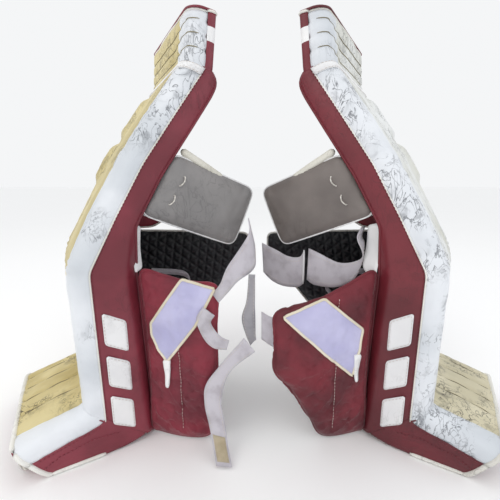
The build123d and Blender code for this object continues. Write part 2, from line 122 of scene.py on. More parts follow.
class Look:
    """A principled material and the nodes that feed it."""

    def __init__(self, name, roughness, **sockets):
        self.material = bpy.data.materials.new(name)
        self.material.use_nodes = True
        self.nodes = self.material.node_tree.nodes
        self.links = self.material.node_tree.links
        self.shader = self.nodes["Principled BSDF"]
        self.shader.inputs["Roughness"].default_value = roughness
        for socket, value in sockets.items():
            self.shader.inputs[socket.replace("_", " ")].default_value = value
        self.where = self.nodes.new("ShaderNodeTexCoord")

    def stretched(self, scale, output="Object"):
        """Coordinates scaled differently along each axis."""
        mapping = self.nodes.new("ShaderNodeMapping")
        mapping.inputs["Scale"].default_value = scale
        self.links.new(self.where.outputs[output], mapping.inputs["Vector"])
        return mapping.outputs["Vector"]

    def noise(self, scale, detail=2.0, distortion=0.0, vector=None):
        node = self.nodes.new("ShaderNodeTexNoise")
        node.inputs["Scale"].default_value = scale
        node.inputs["Detail"].default_value = detail
        node.inputs["Distortion"].default_value = distortion
        self.links.new(vector or self.where.outputs["Object"], node.inputs["Vector"])
        return node.outputs["Fac"]

    def waves(self, scale, direction, output="Object"):
        node = self.nodes.new("ShaderNodeTexWave")
        node.bands_direction = direction
        node.inputs["Scale"].default_value = scale
        self.links.new(self.where.outputs[output], node.inputs["Vector"])
        return node.outputs["Fac"]

    def math(self, operation, a, b):
        node = self.nodes.new("ShaderNodeMath")
        node.operation = operation
        for socket, value in zip(node.inputs, (a, b)):
            if isinstance(value, (int, float)):
                socket.default_value = value
            else:
                self.links.new(value, socket)
        return node.outputs[0]

    def band(self, value, low, high):
        """0 below low and 1 above high, with a smooth step between."""
        node = self.nodes.new("ShaderNodeMapRange")
        node.interpolation_type = "SMOOTHSTEP"
        node.inputs["From Min"].default_value = low
        node.inputs["From Max"].default_value = high
        self.links.new(value, node.inputs["Value"])
        return node.outputs[0]

    def veins(self, value, width):
        """Thin lines where a noise crosses its middle."""
        away = self.math("ABSOLUTE", self.math("SUBTRACT", value, 0.5), 0)
        return self.math("SUBTRACT", 1.0, self.band(away, 0.0, width))

    def mix(self, factor, a, b):
        node = self.nodes.new("ShaderNodeMix")
        node.data_type = "RGBA"
        self.links.new(factor, node.inputs["Factor"])
        for socket, value in ((node.inputs[6], a), (node.inputs[7], b)):
            if isinstance(value, tuple):
                socket.default_value = value
            else:
                self.links.new(value, socket)
        return node.outputs[2]

    def colour(self, value):
        self.links.new(value, self.shader.inputs["Base Color"])

    def roughen(self, value, low, high):
        node = self.nodes.new("ShaderNodeMapRange")
        node.inputs["To Min"].default_value = low
        node.inputs["To Max"].default_value = high
        self.links.new(value, node.inputs["Value"])
        self.links.new(node.outputs[0], self.shader.inputs["Roughness"])

    def bump(self, *layers):
        """Bumps in layers of (value, strength, height in metres)."""
        normal = None
        for value, strength, height in layers:
            node = self.nodes.new("ShaderNodeBump")
            node.inputs["Strength"].default_value = strength
            node.inputs["Distance"].default_value = height
            self.links.new(value, node.inputs["Height"])
            if normal:
                self.links.new(normal, node.inputs["Normal"])
            normal = node.outputs["Normal"]
        self.links.new(normal, self.shader.inputs["Normal"])


def leather(name, base, shade, roughness=0.42, scuffs=0.0, mark=(0, 0, 0, 1), grain=620):
    """Coated leather with a fine grain, broad toning and, where it is played on, scuffs."""
    look = Look(name, roughness, Specular_IOR_Level=0.45)
    tone = look.band(look.noise(7, 4), 0.35, 0.68)
    colour = look.mix(tone, base, shade)
    bumps = [(look.noise(grain, 3), 0.25, 0.0004), (look.noise(45, 3), 0.25, 0.0016)]
    if scuffs:
        cracks = look.veins(look.noise(23, 8, 1.6), 0.020)
        runs = look.veins(look.noise(6, 6, 0.9, look.stretched((8, 8, 2.2))), 0.020)
        patches = look.band(look.noise(9, 5, 0.5), 0.43, 0.60)
        rubbed = look.band(look.noise(34, 8, 0.8), 0.52, 0.70)
        worn = look.math("MULTIPLY", look.math("MAXIMUM", cracks, runs), patches)
        smear = look.math("MULTIPLY", look.math("MULTIPLY", rubbed, patches), 0.55)
        amount = look.math("MULTIPLY", look.math("MAXIMUM", worn, smear), scuffs)
        colour = look.mix(amount, colour, mark)
        bumps.append((worn, 0.35, -0.0007))
    look.colour(colour)
    look.roughen(look.noise(26, 4), roughness - 0.10, roughness + 0.16)
    look.bump(*bumps)
    return look.material


def woven(name, base, shade, thread=300, roughness=0.62, sheen=0.25, crumple=0.5):
    """Coated nylon: a fine weave under soft broad crumples."""
    look = Look(name, roughness, Sheen_Weight=sheen, Sheen_Roughness=0.4)
    look.colour(look.mix(look.band(look.noise(11, 4), 0.35, 0.7), base, shade))
    weave = look.math("MULTIPLY", look.waves(thread, "X"), look.waves(thread, "Z"))
    look.roughen(look.noise(30, 3), roughness - 0.12, roughness + 0.12)
    look.bump((weave, 0.35, 0.0004), (look.noise(60, 4, 0.4), crumple, 0.0022))
    return look.material


def webbing(name, base, shade, ribs=190, roughness=0.72):
    """Narrow woven tape, ribbed along its length, a little soiled."""
    look = Look(name, roughness, Sheen_Weight=0.3, Sheen_Roughness=0.5)
    soil = look.band(look.noise(34, 5), 0.42, 0.75)
    ribbed = look.waves(ribs, "Y", "UV")
    picks = look.waves(ribs * 1.4, "X", "UV")
    shaded = look.mix(look.math("MULTIPLY", ribbed, 0.35), base, shade)
    look.colour(look.mix(soil, shaded, shade))
    look.bump((ribbed, 0.6, 0.0006), (picks, 0.4, 0.0004), (look.noise(90, 2), 0.3, 0.0008))
    return look.material


def braid(name, base, shade):
    """Braided cord: two crossing sets of strands."""
    look = Look(name, 0.7, Sheen_Weight=0.3)
    one = look.waves(60, "DIAGONAL")
    look.colour(look.mix(one, base, shade))
    look.bump((one, 0.7, 0.0012), (look.noise(500, 2), 0.4, 0.0004))
    return look.material


INK = rgb(70, 73, 80)
LOOKS = {
    "roll": leather("roll_white", rgb(228, 231, 236), rgb(203, 208, 214), 0.42, 0.8, INK),
    # The right pad's face and its scuff marks are painted warm khaki: painted warm light on the right pad.
    # The face leather itself is white, as face_left has it.
    "face_right": leather("face_painted_warm_light", rgb(212, 198, 148), rgb(186, 170, 112), 0.48, 0.8, rgb(96, 86, 62)),
    "face_left": leather("face_cool", rgb(228, 230, 230), rgb(206, 206, 196), 0.46, 0.8, rgb(82, 82, 82)),
    # The right pad's boot is painted a warmer cream than boot_left: painted warm light on the right pad, with
    # one leather under both.
    "boot_right": leather("boot_painted_warm_light", rgb(218, 204, 154), rgb(184, 166, 108), 0.5, 0.95, rgb(66, 60, 48)),
    "boot_left": leather("boot_pale", rgb(226, 218, 192), rgb(198, 190, 162), 0.5, 0.95, rgb(62, 60, 56)),
    # The pair's maroon leather has one copy per pad: the right pad's is painted lighter and the left pad's
    # darker. This is painted light and shade.
    "maroon_right": leather("maroon_right", rgb(136, 52, 66), rgb(108, 36, 48), 0.38, 0.25, rgb(60, 30, 34)),
    "maroon_left": leather("maroon_left", rgb(118, 40, 50), rgb(90, 28, 36), 0.38, 0.25, rgb(50, 24, 28)),
    "white": leather("white_leather", rgb(240, 240, 240), rgb(224, 224, 226), 0.42, 0.25, rgb(150, 148, 148)),
    "binding": leather("white_binding", rgb(236, 235, 230), rgb(214, 212, 204), 0.5, 0.4, rgb(120, 116, 108)),
    "cream": leather("cream_binding", rgb(226, 218, 198), rgb(206, 196, 170), 0.5),
    # The grey landing likewise has a lighter copy painted on the right pad and a darker one on the left:
    # painted light and shade.
    "grey_right": leather("landing_grey_painted_lit", rgb(150, 147, 146), rgb(128, 126, 126), 0.46, 0.4,
                          rgb(92, 90, 92)),
    "grey_left": leather("landing_grey_painted_shade", rgb(124, 116, 112), rgb(102, 95, 92), 0.46, 0.4,
                         rgb(78, 72, 70)),
    "gusset": leather("white_gusset", rgb(226, 224, 214), rgb(206, 202, 188), 0.5, 0.3, rgb(150, 144, 132)),
    # The maroon nylon likewise has a lighter copy painted on the right pad and a darker one on the left:
    # painted light and shade.
    "nylon_right": woven("nylon_right", rgb(134, 36, 54), rgb(98, 22, 38)),
    "nylon_left": woven("nylon_left", rgb(118, 30, 44), rgb(82, 17, 29)),
    "quilt": woven("black_quilt", rgb(38, 40, 46), rgb(22, 24, 29), 260, 0.36, 0.5, 0.25),
    "liner": woven("channel_black", rgb(34, 34, 38), rgb(20, 20, 23), 220, 0.8, 0.4, 0.5),
    "loop": woven("loop_fabric", rgb(196, 194, 226), rgb(176, 174, 210), 420, 0.95, 0.7, 0.35),
    "webbing": webbing("white_webbing", rgb(216, 212, 220), rgb(184, 178, 186)),
    "grey_web": webbing("grey_webbing", rgb(176, 174, 180), rgb(140, 138, 146), 150),
    "hook": webbing("tan_hook", rgb(206, 192, 164), rgb(178, 162, 132), 260, 0.85),
    # Thin dark tubes laid in the rise and boot grooves: painted shade in the grooves.
    "groove": leather("groove_shadow", rgb(150, 140, 112), rgb(112, 104, 84), 0.7),
    "thread": webbing("pale_thread", rgb(214, 206, 200), rgb(190, 180, 172), 600),
    "lace": braid("white_lace", rgb(226, 222, 214), rgb(192, 188, 180)),
    "cord": braid("braided_cord", rgb(206, 202, 194), rgb(158, 154, 146)),
}


# ------------------------------------------------------------ meshes
def build(name, side, points, faces, looks, index=None, uv=None):
    """An object from points of the pad's frame, with its outside facing out on both pads."""
    mesh = bpy.data.meshes.new(name)
    turned = [f if side == "left" else f[::-1] for f in faces]
    mesh.from_pydata([tuple(p) for p in place(side, points)], [], [tuple(f) for f in turned])
    for look in looks:
        mesh.materials.append(LOOKS[look])
    if index is not None:
        mesh.polygons.foreach_set("material_index", np.asarray(index, np.int32))
    if uv is not None:
        layer = mesh.uv_layers.new(name="UVMap")
        corners = np.zeros(len(mesh.loops), np.int32)
        mesh.loops.foreach_get("vertex_index", corners)
        layer.data.foreach_set("uv", np.asarray(uv, np.float32)[corners].ravel())
    mesh.polygons.foreach_set("use_smooth", np.ones(len(mesh.polygons), bool))
    mesh.update()
    obj = bpy.data.objects.new(f"{name}_made", mesh)
    bpy.context.scene.collection.objects.link(obj)
    return obj


def attach(obj, body, slot, *nodes, fill=None):
    """Rides a piece on its body and hides the CAD nodes it stands for."""
    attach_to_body(obj, body)
    if nodes:
        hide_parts(*nodes)
    return obj


def normals_of(points):
    """Unit normals of a grid of points, on the side that its rows and columns turn toward."""
    down = np.gradient(points, axis=0)
    across = np.gradient(points, axis=1)
    normal = np.cross(across, down)
    return normal / np.maximum(np.linalg.norm(normal, axis=-1, keepdims=True), 1e-9)


def skin(name, side, points, looks, thickness=SKIN, index=None, outward=1):
    """A sheet with thickness over a grid of points; index picks a look for each grid cell."""
    rows, cols = points.shape[:2]
    normal = normals_of(points) * outward
    whole = np.concatenate([points.reshape(-1, 3), (points - normal * thickness).reshape(-1, 3)])
    count = rows * cols
    cells = [(r, c) for r in range(rows - 1) for c in range(cols - 1)]
    outer, inner = [], []
    for r, c in cells:
        a, b = r * cols + c, (r + 1) * cols + c
        quad = (a, b, b + 1, a + 1) if outward < 0 else (a, a + 1, b + 1, b)
        outer.append(quad)
        inner.append(tuple(q + count for q in reversed(quad)))
    ring = [c for c in range(cols)] + [r * cols + cols - 1 for r in range(1, rows)]
    ring += [(rows - 1) * cols + c for c in range(cols - 2, -1, -1)]
    ring += [r * cols for r in range(rows - 2, 0, -1)]
    rim = []
    for a, b in zip(ring, ring[1:] + ring[:1]):
        quad = (a, a + count, b + count, b)
        rim.append(quad if outward > 0 else quad[::-1])
    looks_of = [0] * len(cells) if index is None else [index(r, c) for r, c in cells]
    along = np.arange(rows)[:, None] * 0.006 + np.zeros(cols)
    wide = np.arange(cols)[None, :] * 0.006 + np.zeros((rows, 1))
    uv = np.stack([along, wide], -1).reshape(-1, 2)
    return build(name, side, whole, outer + inner + rim, looks,
                 looks_of * 2 + [0] * len(rim), np.concatenate([uv, uv]))


def smooth_line(points, step=0.004):
    """A curve through points, sampled about every step."""
    p = np.asarray(points, float)
    padded = np.vstack([2 * p[0] - p[1], p, 2 * p[-1] - p[-2]])
    out = []
    for i in range(len(p) - 1):
        a, b, c, d = padded[i:i + 4]
        n = max(2, int(np.linalg.norm(c - b) / step))
        for t in np.arange(n) / n:
            out.append(0.5 * (2 * b + (c - a) * t + (2 * a - 5 * b + 4 * c - d) * t * t
                              + (3 * b - a - 3 * c + d) * t ** 3))
    return np.array(out + [p[-1]])


def tube(name, side, points, radius, look, around=8, closed=False):
    """A round piping, lace or binding along a line."""
    p = np.asarray(points, float)
    n = len(p)
    run = np.gradient(p, axis=0)
    if closed:
        run = np.roll(p, -1, 0) - np.roll(p, 1, 0)
    run /= np.maximum(np.linalg.norm(run, axis=1, keepdims=True), 1e-9)
    up = np.tile([0.31, 0.83, 0.46], (n, 1))
    one = np.cross(run, up)
    one /= np.linalg.norm(one, axis=1, keepdims=True)
    two = np.cross(run, one)
    turn = np.linspace(0, 2 * math.pi, around, endpoint=False)
    size = np.full(n, radius)
    if not closed:
        size[[0, -1]] *= 0.5
        size[[1, -2]] *= 0.9
    rings = p[:, None] + size[:, None, None] * (np.cos(turn)[None, :, None] * one[:, None]
                                                + np.sin(turn)[None, :, None] * two[:, None])
    faces = []
    for i in range(n if closed else n - 1):
        j = (i + 1) % n
        for k in range(around):
            m = (k + 1) % around
            faces.append((i * around + k, i * around + m, j * around + m, j * around + k))
    if not closed:
        faces.append(tuple(range(around))[::-1])
        faces.append(tuple((n - 1) * around + k for k in range(around)))
    return build(name, side, rings.reshape(-1, 3), faces, [look])


def stitches(name, side, points, look="thread", pitch=0.0065, length=0.0042, radius=0.0006):
    """A row of stitches along a line of points."""
    p = np.asarray(points, float)
    far = np.concatenate([[0], np.cumsum(np.linalg.norm(np.diff(p, axis=0), axis=1))])
    rings, faces = [], []
    for start in np.arange(pitch, far[-1] - pitch, pitch):
        ends = [np.array([np.interp(start + s, far, p[:, k]) for k in range(3)]) for s in (0, length)]
        run = (ends[1] - ends[0]) / np.linalg.norm(ends[1] - ends[0])
        one = np.cross(run, [0.31, 0.83, 0.46])
        one /= np.linalg.norm(one)
        two = np.cross(run, one)
        base = len(rings)
        for centre, size in ((ends[0], 0.5), ((ends[0] + ends[1]) / 2, 1.0), (ends[1], 0.5)):
            for k in range(5):
                a = 2 * math.pi * k / 5
                rings.append(centre + radius * size * (math.cos(a) * one + math.sin(a) * two))
        for i in range(2):
            for k in range(5):
                m = (k + 1) % 5
                a = base + i * 5
                faces.append((a + k, a + m, a + 5 + m, a + 5 + k))
        faces.append(tuple(base + k for k in range(5))[::-1])
        faces.append(tuple(base + 10 + k for k in range(5)))
    return build(name, side, np.array(rings), faces, [look])


def rounded(points, radius, steps=6):
    """A closed outline with round corners."""
    p = [np.array(q, float) for q in points]
    out = []
    for a, b, c in zip(p[-1:] + p[:-1], p, p[1:] + p[:1]):
        reach = min(radius, 0.45 * np.linalg.norm(a - b), 0.45 * np.linalg.norm(c - b))
        start = b + (a - b) / np.linalg.norm(a - b) * reach
        end = b + (c - b) / np.linalg.norm(c - b) * reach
        for t in np.linspace(0, 1, steps):
            out.append((1 - t) ** 2 * start + 2 * t * (1 - t) * b + t * t * end)
    return np.array(out)


def resampled(outline, spacing):
    """A closed outline as evenly spaced points."""
    loop = np.vstack([outline, outline[:1]])
    far = np.concatenate([[0], np.cumsum(np.linalg.norm(np.diff(loop, axis=0), axis=1))])
    n = max(8, int(far[-1] / spacing))
    places = np.linspace(0, far[-1], n, endpoint=False)
    return np.stack([np.interp(places, far, loop[:, k]) for k in (0, 1)], -1)


def edge_distance(points, loop):
    """How far each point is inside a closed outline."""
    best = np.full(len(points), 1e9)
    inside = np.zeros(len(points), bool)
    for a, b in zip(loop, np.roll(loop, -1, 0)):
        run = b - a
        t = np.clip(((points - a) @ run) / max(run @ run, 1e-12), 0, 1)
        best = np.minimum(best, np.linalg.norm(points - (a + t[:, None] * run), axis=1))
        crosses = (a[1] > points[:, 1]) != (b[1] > points[:, 1])
        with np.errstate(divide="ignore", invalid="ignore"):
            at = (b[0] - a[0]) * (points[:, 1] - a[1]) / (b[1] - a[1]) + a[0]
        inside ^= crosses & (points[:, 0] < at)
    return np.where(inside, best, -best)


class Plate:
    """A stuffed plate: a filled outline with a front, a back and a wall between them."""

    def __init__(self, outline, half, rim, wall, spacing=0.005):
        self.loop = resampled(outline, spacing)
        low, high = self.loop.min(0), self.loop.max(0)
        rows = np.arange(low[1], high[1], spacing * 0.87)
        inner = [(x + (i % 2) * spacing / 2, y) for i, y in enumerate(rows)
                 for x in np.arange(low[0], high[0], spacing)]
        inner = np.array(inner)
        inner = inner[edge_distance(inner, self.loop) > spacing * 0.55]
        flat = np.vstack([self.loop, inner])
        n = len(self.loop)
        edges = [(i, (i + 1) % n) for i in range(n)]
        found = delaunay_2d_cdt([Vector(p) for p in flat], edges, [], 1, 1e-7)
        self.flat = np.array([tuple(v) for v in found[0]])
        self.count = len(self.flat)
        self.rim_size = n
        self.triangles = []
        for f in found[2]:
            a, b, c = (self.flat[i] for i in f)
            ccw = (b[0] - a[0]) * (c[1] - a[1]) - (b[1] - a[1]) * (c[0] - a[0]) > 0
            self.triangles.append(tuple(f) if ccw else tuple(f)[::-1])
        self.inside = np.maximum(edge_distance(self.flat, self.loop), 0)
        self.inside[:n] = 0
        round_edge = np.sqrt(1 - (1 - np.clip(self.inside / rim, 0, 1)) ** 2)
        self.front = half * (wall + (1 - wall) * round_edge)
        self.back = self.front.copy()
        area = sum(x0 * y1 - x1 * y0 for (x0, y0), (x1, y1)
                   in zip(self.loop, np.roll(self.loop, -1, 0)))
        self.ccw = area > 0

    def faces(self):
        """Front, back and wall faces; front points come first."""
        front = list(self.triangles)
        back = [tuple(i + self.count for i in reversed(f)) for f in self.triangles]
        wall = []
        for i in range(self.rim_size):
            j = (i + 1) % self.rim_size
            quad = (i, i + self.count, j + self.count, j)
            wall.append(quad if self.ccw else quad[::-1])
        return front, back, wall

    def solid(self, centre):
        """Points in the pad's frame; the front faces the medial side."""
        x, z = self.flat[:, 0], self.flat[:, 1]
        front = np.stack([x, centre - self.front, z], -1)
        back = np.stack([x, centre + self.back, z], -1)
        return np.vstack([front, back])


FRAMES = 20


def puffed(points, faces, cap, slack=0.03):
    """A closed cover swollen by cloth simulation, with no point moved further than cap."""
    mesh = bpy.data.meshes.new("cover")
    mesh.from_pydata(points.tolist(), [], [tuple(f) for f in faces])
    cover = bpy.data.objects.new("cover", mesh)
    scene = bpy.context.scene
    scene.collection.objects.link(cover)
    settings = cover.modifiers.new("cloth", "CLOTH").settings
    settings.effector_weights.gravity = 0
    settings.use_pressure = True
    settings.uniform_pressure_force = 4
    settings.shrink_min = -slack
    for number in range(1, FRAMES + 1):
        scene.frame_set(number)
    swollen = cover.evaluated_get(bpy.context.evaluated_depsgraph_get()).to_mesh()
    moved = np.zeros(len(points) * 3, np.float32)
    swollen.vertices.foreach_get("co", moved)
    move = moved.reshape(-1, 3) - points
    far = np.maximum(np.linalg.norm(move, axis=1, keepdims=True), 1e-9)
    bpy.data.objects.remove(cover)
    bpy.data.meshes.remove(mesh)
    scene.frame_set(1)
    return points + move / far * cap * np.tanh(far / cap)


def over(front, points, lift):
    """Points laid on a front surface and lifted toward the medial side."""
    p = np.array(points, float)
    away = np.hypot(p[:, None, 0] - front[None, :, 0], p[:, None, 2] - front[None, :, 2])
    near = np.argsort(away, axis=1)[:, :6]
    weight = 1 / (np.take_along_axis(away, near, 1) + 1e-3)
    height = (front[near, 1] * weight).sum(1) / weight.sum(1)
    p[:, 1] = height - lift
    return p


def covered(plate, front, thickness):
    """A flat plate laid on a front surface: its front and back points."""
    flat = np.stack([plate.flat[:, 0], plate.flat[:, 0] * 0, plate.flat[:, 1]], -1)
    laid = over(front, flat, 0.0004)
    lifted = laid - np.stack([0 * plate.front, thickness + plate.front, 0 * plate.front], -1)
    return np.vstack([lifted, laid])


# ------------------------------------------------------------ the pad's profile
def along(point, length, lean):
    """The point that lies up a face of that lean, as (x, z)."""
    return np.array([point[0] - length * math.sin(lean), point[1] + length * math.cos(lean)])


class Section:
    """A cross-section of the pad on the plane through a seam point."""

    def __init__(self, seam, lean, roll, depth, lip):
        self.seam, self.lean, self.roll, self.depth, self.lip = np.array(seam), lean, roll, depth, lip

    def at(self, outline):
        """Points of (forward, across) pairs in the pad's frame."""
        d, w = outline[:, 0], outline[:, 1]
        x = self.seam[0] + d * math.cos(self.lean)
        z = self.seam[1] + d * math.sin(self.lean)
        return np.stack([x, w, z], -1)

    def moved(self, length, lean):
        return Section(along(self.seam, length, lean), self.lean, self.roll, self.depth, self.lip)


def bend(seam, below, above, depth, lip):
    """The section on the plane that halves the angle between two runs."""
    return Section(seam, (below + above) / 2, ROLL / math.cos((below - above) / 2), depth, lip)


KNEE = along(ANKLE, SHIN_RUN, 0)


def main_sections():
    found = [bend(ANKLE, BOOT_LEAN, 0, 0.090, 0.022), bend(KNEE, 0, THIGH_LEANS[0], 0.058, 0.022)]
    seam = KNEE
    for lean, following in zip(THIGH_LEANS, THIGH_LEANS[1:] + [RISE_LEAN]):
        seam = along(seam, THIGH_RUN, lean)
        found.append(bend(seam, lean, following, 0.033, 0.003))
    return found


def boot_section(distance, sole):
    seam = along(ANKLE, -distance, BOOT_LEAN)
    line = seam - np.array(sole)
    lean = math.atan2(line[1], line[0])
    return Section(seam, lean, ROLL / math.cos(BOOT_LEAN - lean), np.linalg.norm(line), 0)


MAIN = main_sections()
BREAK = MAIN[-1]
TOP = []
for below, depth in ((0.040, 0.033), (0.018, 0.030), (0.006, 0.023)):
    TOP.append(BREAK.moved(-below, THIGH_LEANS[-1]))
    TOP[-1].depth = depth
MAIN[-1:] = TOP + [BREAK]
BREAK.depth = 0.015
RISE_FOOT = BREAK.moved(BREAK_GAP, RISE_LEAN)
RISE_FOOT.depth = 0.013
RISE_TIP = Section(along(RISE_FOOT.seam, RISE_RUN, RISE_LEAN), RISE_LEAN, ROLL, 0.013, 0.003)
BOOT_TOP = MAIN[0].moved(-ANKLE_GAP, BOOT_LEAN)
TOE = along(ANKLE, -BOOT_RUN, BOOT_LEAN)
BOOT = [
    BOOT_TOP,
    boot_section(0.034, (ANKLE[0] - 0.032, 0.004)),
    boot_section(0.080, (ANKLE[0] + 0.036, 0)),
    boot_section(BOOT_RUN, (TOE[0] - 0.029, 0)),
]


def face_line(section, across=44, turn=9, wall=4):
    """(forward, across) points from the medial seam, over the roll and face, to the far seam."""
    low = section.roll - ROLL_RADIUS
    rise = [(low * i / wall, 0) for i in range(wall)]
    arc = [(low + ROLL_RADIUS * math.sin(a), ROLL_RADIUS * (1 - math.cos(a)))
           for a in np.linspace(0, math.pi / 2, turn)]
    flat = np.linspace(ROLL_RADIUS, WIDTH - ROLL_RADIUS, across)[1:-1]
    far = [(d, WIDTH - w) for d, w in (rise + arc)[::-1]]
    return np.array(rise + arc + [(section.roll, w) for w in flat] + far)


def back_line(section, channel, part):
    """(forward, across) points of the lateral side, the back or the medial side."""
    back, lip = -section.depth, section.lip
    end = (back - lip, lip) if channel else (back, 0)
    if part == "medial":
        return np.array([(end[0] * t, end[1] * t) if not channel else
                         (back * min(1, t / 0.8) - lip * max(0, (t - 0.8) / 0.2),
                          lip * max(0, (t - 0.8) / 0.2)) for t in np.linspace(1, 0, 16)])
    if part == "lateral":
        return np.array([(d, WIDTH - w) for d, w in back_line(section, channel, "medial")[::-1]])
    corners = [(back, 0), (back, WIDTH)]
    if channel:
        near = [(back - lip, lip), (back - lip, lip + RIDGE), (back, 2 * lip + RIDGE)]
        corners = near + [(d, WIDTH - w) for d, w in near[::-1]]
    line = [np.array(corners[0])]
    for a, b in zip(corners, corners[1:]):
        n = max(2, int(math.dist(a, b) / 0.006))
        line += [np.array(a) + (np.array(b) - np.array(a)) * i / n for i in range(1, n + 1)]
    return np.array(line)[::-1]


def same_count(lines):
    """Lines of points resampled to one count, by share of length."""
    n = max(len(v) for v in lines)
    out = []
    for line in lines:
        far = np.concatenate([[0], np.cumsum(np.linalg.norm(np.diff(line, axis=0), axis=1))])
        places = np.linspace(0, far[-1], n)
        out.append(np.stack([np.interp(places, far, line[:, k]) for k in range(line.shape[1])], -1))
    return out


def lofted(sections, line, step=0.006, soften=2):
    """A grid of points through sections, with its bends a little rounded; and each row's travel."""
    rings = [s.at(v) for s, v in zip(sections, same_count([line(s) for s in sections]))]
    rows, travel, done = [], [], 0.0
    for (a, b), (s, e) in zip(zip(rings, rings[1:]), zip(sections, sections[1:])):
        length = np.linalg.norm(e.seam - s.seam)
        n = max(1, round(length / step))
        for i in range(n):
            rows.append(a + (b - a) * i / n)
            travel.append(done + length * i / n)
        done += length
    rows.append(rings[-1])
    grid = np.array(rows)
    for _ in range(soften):
        grid[1:-1] = (grid[:-2] + 2 * grid[1:-1] + grid[2:]) / 4
    return grid, np.array(travel + [done])


def across_of(grid):
    return grid[..., 1]


# ------------------------------------------------------------ covers of one pad
ROLL_EDGE = 0.047  # where the medial roll ends and the face begins
KNEE_AT = SHIN_RUN
KNEE_ROLLS = [(0.430, 0.530), (0.545, 0.660)]  # travel of each outer knee roll


def wrinkle(grid, travel, places, width, depth, wander):
    """Creases across the pad at some places along it."""
    w = across_of(grid)
    t = travel[:, None] + wander * rough(np.stack([w * 0, w, w * 0 + 0.3], -1), 0.05, 2)
    total = np.zeros(w.shape)
    for crease, share in places:
        total += depth * share * dent(t - crease, width)
    return total


def main_face(side):
    grid, travel = lofted(MAIN, face_line)
    w = across_of(grid)
    t = travel[:, None] + 0 * w
    normal = normals_of(grid)
    lift = 0.003 * np.sin(np.pi * np.clip(w / WIDTH, 0, 1))
    lift -= 0.0035 * dent(w - ROLL_EDGE, 0.0035) * (w > 0.02)
    lift += 0.0016 * rough(grid, 0.06) + 0.0007 * rough(grid, 0.017, 2)
    for start, end in KNEE_ROLLS:
        inside = np.clip(np.minimum(t - start, end - t) / 0.02, 0, 1)
        lift += 0.009 * np.sin(inside * np.pi / 2) * np.clip((w - 0.185) / 0.03, 0, 1)
    lift -= wrinkle(grid, travel, [(KNEE_AT, 1.5), (KNEE_AT - 0.012, 0.8), (KNEE_AT + 0.013, 0.9),
                                   (0.46, 0.4), (0.58, 0.35)], 0.0035, 0.0028, 0.006)
    edge = np.clip(np.minimum(np.arange(w.shape[1]), w.shape[1] - 1 - np.arange(w.shape[1])) / 3, 0, 1)
    grid = grid + normal * (lift * edge[None, :])[..., None]
    first = int(np.argmax(w[0] > ROLL_EDGE))
    obj = skin(f"{side}_main_face", side, grid, ["roll", f"face_{side}"], index=lambda r, c: int(c >= first))
    attach(obj, f"{side}_pad", "white_face", f"{side}_main_face", f"{side}_main_core", fill=0.9)
    return grid


def main_back(side):
    jobs = (("medial", "medial_gusset", f"maroon_{side}", "maroon_panel"),
            ("lateral", "lateral_gusset", f"maroon_{side}", "maroon_panel"),
            ("back", "channel_liner", "liner", "black_lining"))
    grids = {}
    for part, node, look, slot in jobs:
        grid, travel = lofted(MAIN, lambda s, p=part: back_line(s, True, p))
        share = np.linspace(0, 1, grid.shape[1])[None, :]
        lift = 0.0030 * np.sin(np.pi * share) + 0.0012 * rough(grid, 0.05) * np.sin(np.pi * share)
        lift = lift - wrinkle(grid, travel, [(KNEE_AT, 1.0), (KNEE_AT + 0.02, 0.5)],
                              0.004, 0.002, 0.008) * np.sin(np.pi * share)
        grid = grid + normals_of(grid) * lift[..., None]
        obj = skin(f"{side}_{node}", side, grid, [look])
        attach(obj, f"{side}_pad", slot, f"{side}_{node}", fill=0.7)
        grids[part] = grid
    return grids


def grid_line(grid, rows, cols):
    """Points of a grid at fractional rows and columns."""
    r = np.clip(np.floor(rows).astype(int), 0, grid.shape[0] - 2)
    c = np.clip(np.floor(cols).astype(int), 0, grid.shape[1] - 2)
    down, right = (rows - r)[:, None], (cols - c)[:, None]
    upper = grid[r, c] * (1 - right) + grid[r, c + 1] * right
    lower = grid[r + 1, c] * (1 - right) + grid[r + 1, c + 1] * right
    return upper * (1 - down) + lower * down


def end_cap(section, channel):
    """A grid over the end of a section, from its middle line out to its edge."""
    outline = np.vstack([face_line(section), back_line(section, channel, "lateral"),
                         back_line(section, channel, "back"), back_line(section, channel, "medial")])
    centre = outline.mean(0)
    middle = np.stack([np.full(len(outline), centre[0]),
                       np.clip(outline[:, 1], 0.03, WIDTH - 0.03)], -1)
    shares = (0, 0.35, 0.65, 0.85, 0.96, 1.0)
    return np.array([section.at(middle + (outline - middle) * s) for s in shares]), shares


